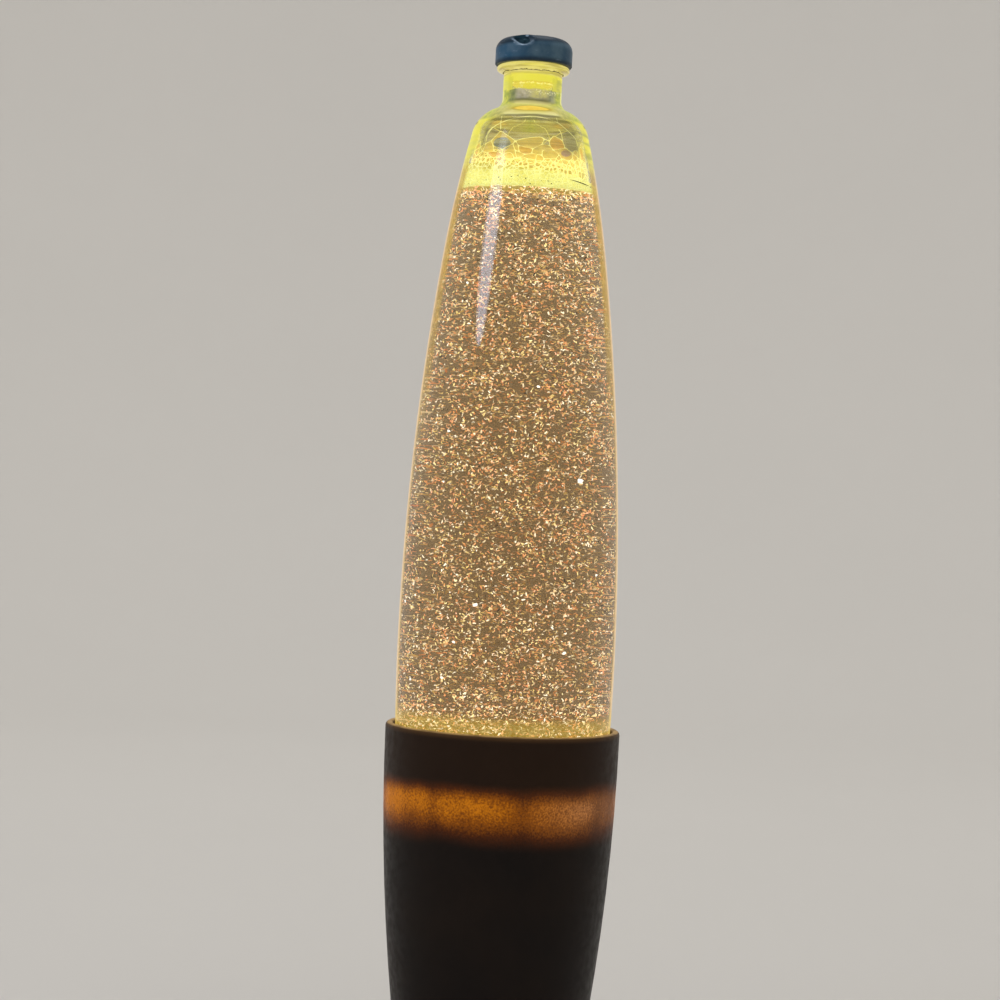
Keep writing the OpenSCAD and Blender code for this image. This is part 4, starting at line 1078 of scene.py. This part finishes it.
def stopper():
    plugR, endH, edge = bottle["neckR"] - bottle["wall"] + plug["press"], lipH - plug["length"], plug["edge"]

    def wave(r, turn):
        return plug["wave"] * noise.noise(Vector((math.sin(turn), math.cos(turn), r * 0.2)) * 2.1)

    def uneven(r, z, turn):
        return (r, z) if z > bottleZ + endH + 3 else (r, z + wave(r, turn))

    points = [(0, endH + 1.2), (plugR * 0.4, endH + 0.9), (plugR * 0.75, endH + 0.3), (plugR - edge, endH)]
    points += arc(Vector((plugR - edge, endH + edge)), edge, -math.pi / 2, 0)[1:]
    points += [(plugR, endH + 2 + 0.8 * k) for k in range(18)]
    points += [(plugR, lipH + 0.05), (mouthR, lipH + 0.05)]
    points += [(mouthR, lipH + bottle["flange"]), (0, lipH + bottle["flange"])]
    shape = lathe(lifted(points), steps=128, closed=False, warp=uneven)
    newPiece("stopper", shape, stopperPaint, "bottle", "neck_stopper")

    rng = random.Random(plug["seed"])
    beads = bmesh.new()
    for i in range(plug["bubbles"]):
        angle = math.radians(rng.gauss(25, 32) if i < plug["inFront"] else rng.uniform(0, 360))
        size = rng.uniform(0.16, 0.36)
        z = bottleZ + endH + wave(plugR, angle) - rng.uniform(0.0, 0.5)
        made = bmesh.ops.create_icosphere(beads, subdivisions=2, radius=size * mm)
        spot = onCircle(plugR - 0.25 - size, angle, z) * mm
        bmesh.ops.translate(beads, verts=made["verts"], vec=spot)
    mesh = bpy.data.meshes.new("stopper_bubbles")
    beads.to_mesh(mesh)
    beads.free()
    # the bubbles take the bubble walls' painted glow
    addPiece("stopper_bubbles", mesh, netPaint, "bottle", sharp=0)


stopper()

# Cap: moulded cap with a softly domed top, a bruise on its front edge and fine scratches
bruise = {"x": -5.0, "y": -14.6, "down": 3.3, "wide": 4.0, "tall": 2.5, "deep": 0.7}
capTop = bottleZ + capZ + bottle["capH"]


def capTones(w):
    # Painted highlight on the bruise's crest, with a painted glint; painted shade in the bruise's hollow, on
    # the rounded top and along the lower edge; the face is painted lighter on the left
    height, across, top = w.axis("Z"), w.axis("X"), capTop * mm
    x = (across / mm - bruise["x"]) / bruise["wide"]
    z = (height / mm - (capTop - bruise["down"])) / bruise["tall"]
    slant = x + z * 0.42 + (w.grain(170) - 0.5) * 0.9
    away = (slant * slant + z * z) ** 0.5
    front = w.axis("Y").rises(-0.008, -0.011)
    dentMottle = w.grain(420, 3.0).rises(0.34, 0.60)
    # painted highlight along the bruise's crest, and a painted glint in it
    crest = away.rises(0.82, 0.98) * away.rises(1.28, 1.02) * z.rises(0.45, -0.45)
    crest = crest * x.rises(0.9, -0.4, 0.30, 1.0) * front
    spot = ((x - 0.45) * (x - 0.45) + (z - 0.62) * (z - 0.62)) ** 0.5
    crest = (crest * (dentMottle * 0.7 + 0.3)).highest(spot.rises(0.24, 0.08) * 0.7 * front)
    # painted shade in the bruise's hollow
    hollow = away.rises(1.0, 0.80) * front
    scuff = w.drawn(260, 260, 700, 4.0).rises(0.60, 0.80) * 0.30
    cloud = w.grain(130, 3.0).rises(0.34, 0.66)
    # the face is painted lighter on the left, as lit from there
    face = across.rises(0.001, -0.013).blend(
        cloud.blend((0.036, 0.092, 0.158), (0.088, 0.160, 0.222)),
        cloud.blend((0.032, 0.118, 0.222), (0.090, 0.180, 0.275)))
    # painted shade on the rounded top
    upper = (height + across * -0.06).rises(top - 0.0052, top - 0.0034)
    face = upper.blend(face, cloud.blend((0.006, 0.026, 0.052), (0.010, 0.034, 0.062)))
    # painted shade along the lower edge
    face = (height.rises(top - 0.0098, top - 0.0116) * 0.75).blend(face, (0.014, 0.022, 0.034))
    body = hollow.blend(face, dentMottle.blend((0.004, 0.020, 0.034), (0.012, 0.040, 0.062)))
    rough = w.grain(260, 3.0).rises(0.3, 0.8, 0.34, 0.52)
    # one pale blue for the painted highlight and for the real fine scratches
    return {"Base Color": crest.highest(scuff).blend(body, (0.36, 0.50, 0.66)),
            "Roughness": rough.highest(hollow * 0.95), "Height": (w.grain(900), 0.00005)}


capPaint = material("cap plastic", {"Specular IOR Level": 0.16}, capTones)


def cap():
    r, h, soft, dome = bottle["capR"], bottle["capH"], bottle["capRound"], bottle["capDome"]
    inner, roof = r - bottle["capWall"], h - bottle["capTop"]
    edge = Vector((r - soft, h - dome + math.sqrt((dome - soft) ** 2 - (r - soft) ** 2)))
    turnA = heading(edge - Vector((0, h - dome)))
    points = [(inner, 0.3), (inner + 0.3, 0)] + arc(Vector((r - 0.6, 0.6)), 0.6, -math.pi / 2, 0)
    points += [(r, 0.6 + (edge.y - 0.6) * k / 5) for k in range(1, 5)]
    points += arc(edge, soft, 0, turnA, 0.002)
    for k in range(13, 0, -1):
        x = math.cos(turnA) * dome * k / 14
        points.append((x, h - dome + math.sqrt(dome ** 2 - x ** 2)))
    points += [(0, h), (0, roof), (inner, roof)]
    points = [(x, z + capZ + bottleZ) for x, z in points]
    heart = Vector((bruise["x"], bruise["y"], capTop - bruise["down"]))

    def worn(x, z, turn):
        if z < bottleZ + capZ + 4 or x < 4:
            return x, z
        spot = onCircle(x, turn, z) - heart
        away = math.hypot(spot.x / bruise["wide"], math.hypot(spot.y, spot.z) / bruise["tall"])
        dip = bruise["deep"] * math.exp(-away ** 5) - 0.20 * math.exp(-((away - 1.30) / 0.2) ** 2)
        return x - dip * 0.7, z - dip

    newPiece("cap", lathe(points, steps=360, warp=worn), capPaint, "bottle", "bottle_cap")


# Liner: a pressed disc, and a dark ragged ring that shows between bead and neck
def linerTones(w):
    return {"Base Color": w.grain(150, 4.0).blend((0.70, 0.66, 0.54), (0.52, 0.47, 0.36)),
            "Height": (w.grain(500, 3.0), 0.00008)}


def raggedRingTones(w):
    return {"Base Color": w.grain(700, 3.0).blend((0.020, 0.016, 0.010), (0.14, 0.11, 0.04))}


linerPaint = material("liner", {"Roughness": 0.6}, linerTones)
raggedRingPaint = material("dark ragged ring", {"Roughness": 0.7}, raggedRingTones)


def linerAndSeal():
    r, low = mouthR, lipH + bottle["flange"]
    high = low + bottle["liner"]
    points = [(0, low), (r * 0.3, low)]
    for k in range(3, 9):  # shallow pressed rings
        points += [(r * (k + 0.25) / 9, low + 0.08), (r * (k + 0.6) / 9, low + 0.08)]
        points += [(r * (k + 0.85) / 9, low)]
    points += [(r - 0.15, low), (r, low + 0.15), (r, high - 0.15), (r - 0.15, high), (0, high)]
    shape = lathe(lifted(points), steps=128, closed=False)
    newPiece("cap_liner", shape, linerPaint, "bottle", "cap_liner")

    spots, radii = [], []
    for i in range(240):
        turn = tau * i / 240
        rag = noise.noise(Vector((math.sin(turn), math.cos(turn), 0.3)) * 6)
        fine = noise.noise(Vector((math.sin(turn), math.cos(turn), 4.0)) * 21)
        z = bottleZ + beadH - 0.55 + 0.42 * rag + 0.25 * fine
        spots.append(onCircle(bottle["neckR"] + 0.32, turn, z))
        radii.append(max(0.05, 0.13 + 0.16 * fine + 0.10 * rag))
    newPiece("dark_ragged_ring", tube(spots, radii, sides=6), raggedRingPaint, "bottle", sharp=0)


linerAndSeal()
cap()
print("closure made")

# Bulb: frosted envelope lit by a coiled filament, a brass screw cap with a rolled thread
bulb = {
    "globeZ": 91, "globeR": 24, "flankX": 52.4, "flankZ": 54.25, "flankR": 40, "neckR": 12.4, "lowZ": 43,
    "glass": 0.7, "capR": 13.05, "capLow": 33, "capHigh": 51, "pitch": 3.63, "thread": 0.42,
    "threadLow": 3.0, "threadHigh": 3.4,
    "ringR": 9, "sweep": 230, "coil": 0.36, "coilPitch": 0.42, "wire": 0.07,
    "glow": (0.050, 0.088), "hotFoot": (0.078, 0.092), "hotHead": (0.110, 0.096),
}


def bulbTones(w):
    height = w.axis("Z")
    hot = height.rises(*bulb["hotFoot"]) * height.rises(*bulb["hotHead"])
    dust = w.grain(140, 4.0).rises(0.45, 0.75, 1.0, 0.86)
    tone = (height.rises(*bulb["glow"]) * 0.55 + hot * 0.45) * dust
    stops = (0.0, (0.10, 0.045, 0.012)), (0.5, (0.55, 0.32, 0.12)), (1.0, (1.0, 0.74, 0.40))
    return {"Base Color": w.grain(60, 3.0).blend((0.93, 0.91, 0.86), (0.88, 0.85, 0.78)),
            "Roughness": w.grain(500).rises(0.3, 0.7, 0.34, 0.50),
            "Emission Color": tone.ramp(*stops), "Height": (w.grain(2500), 0.00001)}


def filamentTones(w):
    return {"Base Color": w.grain(300).blend((0.50, 0.40, 0.30), (0.35, 0.28, 0.22)),
            "Emission Color": w.grain(260).blend((1.0, 0.62, 0.24), (1.0, 0.46, 0.12))}


def threadWave(w, pitch):  # 0 to 1, rising once per turn of a right-hand thread
    phase = w.axis("Z") * (tau / (pitch * mm)) - w.bearing() * math.radians(1)
    return phase.maths("SINE") * 0.5 + 0.5


def brassTones(pitch=None):
    def varied(w):
        tarnish = w.grain(70, 4.0).rises(0.42, 0.72)
        return {"Base Color": tarnish.blend((0.74, 0.56, 0.25), (0.42, 0.28, 0.12)),
                "Roughness": w.grain(300, 3.0).rises(0.3, 0.7, 0.20, 0.42),
                "Height": (threadWave(w, pitch), 0.0005) if pitch else (w.grain(800, 3.0), 0.00004)}
    return varied


def metal(name, varied):
    return material(name, {"Metallic": 1.0}, varied)


frosted = {"Transmission Weight": 0.45, "IOR": 1.5, "Emission Strength": 0.9}
glowingWire = {"Metallic": 0.4, "Roughness": 0.5, "Emission Strength": 6.0}
bulbGlassPaint = material("frosted bulb glass", frosted, bulbTones, lampRays=(0.8, 0.78, 0.74))
bulbCapPaint = metal("rolled brass", brassTones())
filamentPaint = material("glowing tungsten", glowingWire, filamentTones)


def bulbGlass():
    globe, flank = Vector((0, bulb["globeZ"])), Vector((bulb["flankX"], bulb["flankZ"]))
    turnA = heading(globe - flank)  # where the globe meets the hollow flank

    def wall(inset):
        side = arc(flank, bulb["flankR"] + inset, math.pi, turnA)
        top = arc(globe, bulb["globeR"] - inset, turnA - math.pi, math.pi / 2)
        r = bulb["neckR"] - inset
        return [(r, bulb["lowZ"]), (r, (bulb["lowZ"] + side[0][1]) / 2)] + side + top[1:]

    shape = lathe(wall(0) + wall(bulb["glass"])[::-1], steps=96)
    newPiece("bulb_glass", shape, bulbGlassPaint, "bulb", "bulb_envelope", sharp=60)


def bulbCap():
    outer, low, high = bulb["capR"], bulb["capLow"], bulb["capHigh"]
    lowT, highT = low + bulb["threadLow"], high - bulb["threadHigh"]

    def rolled(r, z, turn):
        share = max(0.0, min(1.0, (z - lowT) / 2)) * max(0.0, min(1.0, (highT - z) / 2))
        wave = 0.5 - 0.5 * math.cos(tau * z / bulb["pitch"] - turn)
        return r - bulb["thread"] * share * wave, z

    points = [(4.6, low), (outer - 2.2, low + 0.2), (outer - 0.9, low + 1.0), (outer - 0.2, low + 2.2)]
    points += [(outer - 0.05, lowT + (highT - lowT) * k / 44) for k in range(45)]
    points += [(outer - 0.35, highT + 1.2), (outer - 0.35, high - 0.9)]
    points += [(outer, high - 0.4), (outer - 0.1, high)]
    points += [(outer - 0.45, high), (outer - 0.8, high - 1.2), (outer - 0.8, low + 2.6), (4.6, low + 0.5)]
    shape = lathe(points, steps=96, warp=rolled)
    newPiece("bulb_cap", shape, bulbCapPaint, "bulb", "bulb_screw_cap", sharp=40)


def filament():
    spots = []
    turns = round(math.radians(bulb["sweep"]) * bulb["ringR"] / bulb["coilPitch"])
    for i in range(turns * 10 + 1):
        share = i / (turns * 10)
        turn = math.radians(180 - bulb["sweep"] / 2 + bulb["sweep"] * share)
        wind = tau * share * turns
        sag = -0.5 * math.sin(math.pi * ((share * 4) % 1.0))
        spots.append(onCircle(bulb["ringR"] + bulb["coil"] * math.cos(wind), turn,
                              bulb["globeZ"] + sag + bulb["coil"] * math.sin(wind)))
    shape = tube(spots, [bulb["wire"]] * len(spots), sides=5)
    newPiece("filament_coil", shape, filamentPaint, "bulb", "bulb_filament", sharp=0)


bulbGlass()
bulbCap()
filament()
print("bulb made")


# Finishes of the pieces that keep their CAD shape
def spunTones(w):
    groove = (w.radius() * 7800.0 + w.grain(90) * 2.0).maths("SINE") * 0.5 + 0.5
    scorch = w.axis("Z").rises(0.062, 0.047) * 0.5 + w.grain(30, 4.0).rises(0.50, 0.75) * 0.25
    bright = groove.blend((0.78, 0.79, 0.80), (0.70, 0.71, 0.73))
    return {"Base Color": scorch.blend(bright, (0.50, 0.38, 0.22)),
            "Roughness": (groove * 0.4 + w.grain(200, 3.0) * 0.6).rises(0.2, 0.8, 0.20, 0.40),
            "Height": (groove, 0.00003)}


def porcelainTones(w):
    speck = w.cells(900).rises(0.10, 0.04) * w.grain(200).rises(0.52, 0.60)
    scorch = w.axis("Z").rises(0.047, 0.058) * w.grain(90, 3.0).rises(0.35, 0.65)
    glaze = w.grain(40, 3.0).blend((0.82, 0.80, 0.75), (0.74, 0.72, 0.66))
    glaze = speck.blend(glaze, (0.25, 0.18, 0.12))
    return {"Base Color": (scorch * 0.55).blend(glaze, (0.46, 0.34, 0.22)),
            "Roughness": w.grain(160, 3.0).rises(0.3, 0.7, 0.10, 0.22),
            "Height": (w.grain(220, 3.0), 0.00006)}


def screwTones(w):
    oil = w.grain(420, 3.0).rises(0.45, 0.68)
    return {"Base Color": oil.blend((0.74, 0.74, 0.72), (0.40, 0.39, 0.36)),
            "Roughness": w.grain(900).rises(0.3, 0.7, 0.20, 0.38), "Height": (w.grain(2600), 0.00002)}


def zincTones(pitch=None):
    def varied(w):
        flower = w.node("SeparateXYZ", (), {0: w.cells(320.0, out="Color")})
        rust = w.grain(55, 5.0).rises(0.62, 0.76) * 0.6
        tone = flower.blend((0.56, 0.58, 0.61), (0.70, 0.71, 0.70))
        return {"Base Color": rust.blend(tone, (0.30, 0.17, 0.09)),
                "Roughness": flower.rises(0.0, 1.0, 0.28, 0.46),
                "Height": (threadWave(w, pitch), 0.0003) if pitch else (w.drawn(120, 1900, 900), 0.00003)}
    return varied


def mouldedTones(first, second, grit, rough):
    def varied(w):
        dust = w.grain(26, 5.0).rises(0.48, 0.78) * 0.5
        clean = w.grain(180, 3.0).blend(first, second)
        return {"Base Color": dust.blend(clean, [c * 3.2 + 0.01 for c in second]),
                "Roughness": (w.grain(400, 3.0) + dust * 0.4).rises(0.3, 0.9, *rough),
                "Height": (w.grain(grit, 3.0), 0.00009)}
    return varied


def stemTones(w):
    return {"Base Color": w.grain(150).blend((0.90, 0.96, 0.93), (0.80, 0.90, 0.86)),
            "Roughness": w.grain(300).rises(0.3, 0.7, 0.02, 0.12), "Height": (w.grain(260), 0.00008)}


def wireTones(w):
    return {"Base Color": w.grain(350, 3.0).blend((0.62, 0.60, 0.56), (0.46, 0.36, 0.26)),
            "Roughness": w.grain(700).rises(0.3, 0.7, 0.25, 0.42), "Height": (w.grain(2400), 0.00001)}


def solderTones(w):
    return {"Base Color": w.grain(260, 3.0).blend((0.66, 0.66, 0.65), (0.44, 0.44, 0.44)),
            "Roughness": w.grain(500).rises(0.3, 0.7, 0.28, 0.50), "Height": (w.grain(420, 3.0), 0.0004)}


# Base: smoked plastic; the bulb's light showing through it over the reflector's rim is painted as a glowing
# band, with painted shadows behind the ribs
base = {
    "glowTop": (0.1318, 0.1222), "glowFoot": (0.1040, 0.1215), "lip": (0.1472, 0.1492),
    "crest": (0.14925, 0.14985), "upper": (0.100, 0.130), "ribEvery": 45.0, "ribShift": 371.0,
    "amber": ((0.0, (0.0, 0.0, 0.0)), (0.25, (0.046, 0.009, 0.0)), (0.6, (0.200, 0.052, 0.0)),
              (1.0, (0.46, 0.140, 0.001))),
    "rose": ((0.0, (0.004, 0.003, 0.004)), (0.6, (0.14, 0.055, 0.020)), (1.0, (0.36, 0.15, 0.055))),
}


def baseTones(w):
    turn = w.bearing()
    z = w.axis("Z")
    level = z + (w.grain(28) - 0.5) * 0.006
    # painted light: a glowing band where the bulb shows through
    band = level.rises(*base["glowTop"]) * level.rises(*base["glowFoot"])
    # painted shadows of the ribs: the band is dimmer behind each rib
    toRib = abs((turn + base["ribShift"]).maths("MODULO", base["ribEvery"]) - base["ribEvery"] / 2)
    clear = toRib.rises(0.0, 9.0, 0.76, 1.0)
    # painted light: the band is brighter towards the front left
    sway = ((turn + 60.0) * math.radians(1)).maths("COSINE") * 0.12 + 0.84
    speckle = w.grain(1250) * 1.5 + 0.22
    cloud = w.grain(45).rises(0.30, 0.70, 0.72, 1.08)
    glow = band * clear * sway * speckle * cloud
    # the painted glow turns pinker towards the right
    rose = turn.rises(5.0, 50.0) * band * 0.75
    tone = rose.blend(glow.ramp(*base["amber"]), glow.ramp(*base["rose"]))
    # painted highlight: a glowing line along the lip's crest
    crest = z.rises(*base["crest"]) * w.grain(120).rises(0.3, 0.6, 0.4, 1.0)
    # greyer and bluer below, a painted reflection of bluish light; browner higher up
    smoked = z.rises(*base["upper"]).blend((0.0062, 0.0058, 0.0064), (0.0190, 0.0100, 0.0064))
    # painted light: the lip is lighter, as lit by the glowing bottle
    lit = z.rises(*base["lip"]) * 0.6 + w.grain(25, 3.0) * 0.15
    return {"Base Color": lit.blend(smoked, (0.10, 0.050, 0.018)),
            "Roughness": w.grain(300, 3.0).rises(0.3, 0.7, 0.36, 0.50),
            "Emission Color": crest.blend(tone, (0.30, 0.185, 0.060)), "Height": (w.grain(1800), 0.00003)}


blackened = mouldedTones((0.012, 0.012, 0.013), (0.026, 0.025, 0.024), 1500, (0.28, 0.50))
brownish = mouldedTones((0.014, 0.012, 0.011), (0.024, 0.021, 0.019), 1000, (0.45, 0.68))
rubbery = mouldedTones((0.016, 0.016, 0.017), (0.030, 0.029, 0.028), 1300, (0.62, 0.88))
vitreous = mouldedTones((0.006, 0.005, 0.010), (0.014, 0.010, 0.020), 500, (0.08, 0.22))
screws = metal("plated screws", screwTones)
plates = metal("stamped brass", brassTones())
zincSheet = metal("zinc sheet", zincTones())
footRubber = material("foot rubber", {"Specular IOR Level": 0.3}, rubbery)
finishes = {
    "base_shell": material("base plastic", {"Emission Strength": 1.0, "Specular IOR Level": 0.09}, baseTones),
    "heat_shield": metal("spun aluminium", spunTones),
    "shield_ring": material("ring plastic", {"Specular IOR Level": 0.4}, blackened),
    "socket_body": material("glazed porcelain", {"Coat Weight": 0.6, "Coat Roughness": 0.06}, porcelainTones),
    "socket_shell": metal("rolled socket brass", brassTones(bulb["pitch"])),
    "socket_contact": plates, "terminal_plates": plates,
    "terminal_screws": screws, "bracket_screws": screws, "cover_screws": screws,
    "socket_tube": metal("threaded zinc steel", zincTones(0.94)),
    "tube_locknut": zincSheet, "socket_bracket": zincSheet,
    "bottom_cover": material("cover plastic", {"Specular IOR Level": 0.3}, brownish),
    "foot_ring": footRubber, "cord_grommet": footRubber,
    "bulb_insulator": material("black bulb glass", {"Coat Weight": 0.5, "Coat Roughness": 0.05}, vitreous),
    "bulb_contact": metal("solder", solderTones),
    "bulb_stem": material("stem glass", {"Transmission Weight": 0.9, "IOR": 1.5}, stemTones,
                          lampRays=(0.9, 0.92, 0.9)),
    "bulb_wires": metal("nickel wire", wireTones),
}
for node, paint in finishes.items():
    nodes[node].data.materials.clear()
    nodes[node].data.materials.append(paint)
print("finishes set")
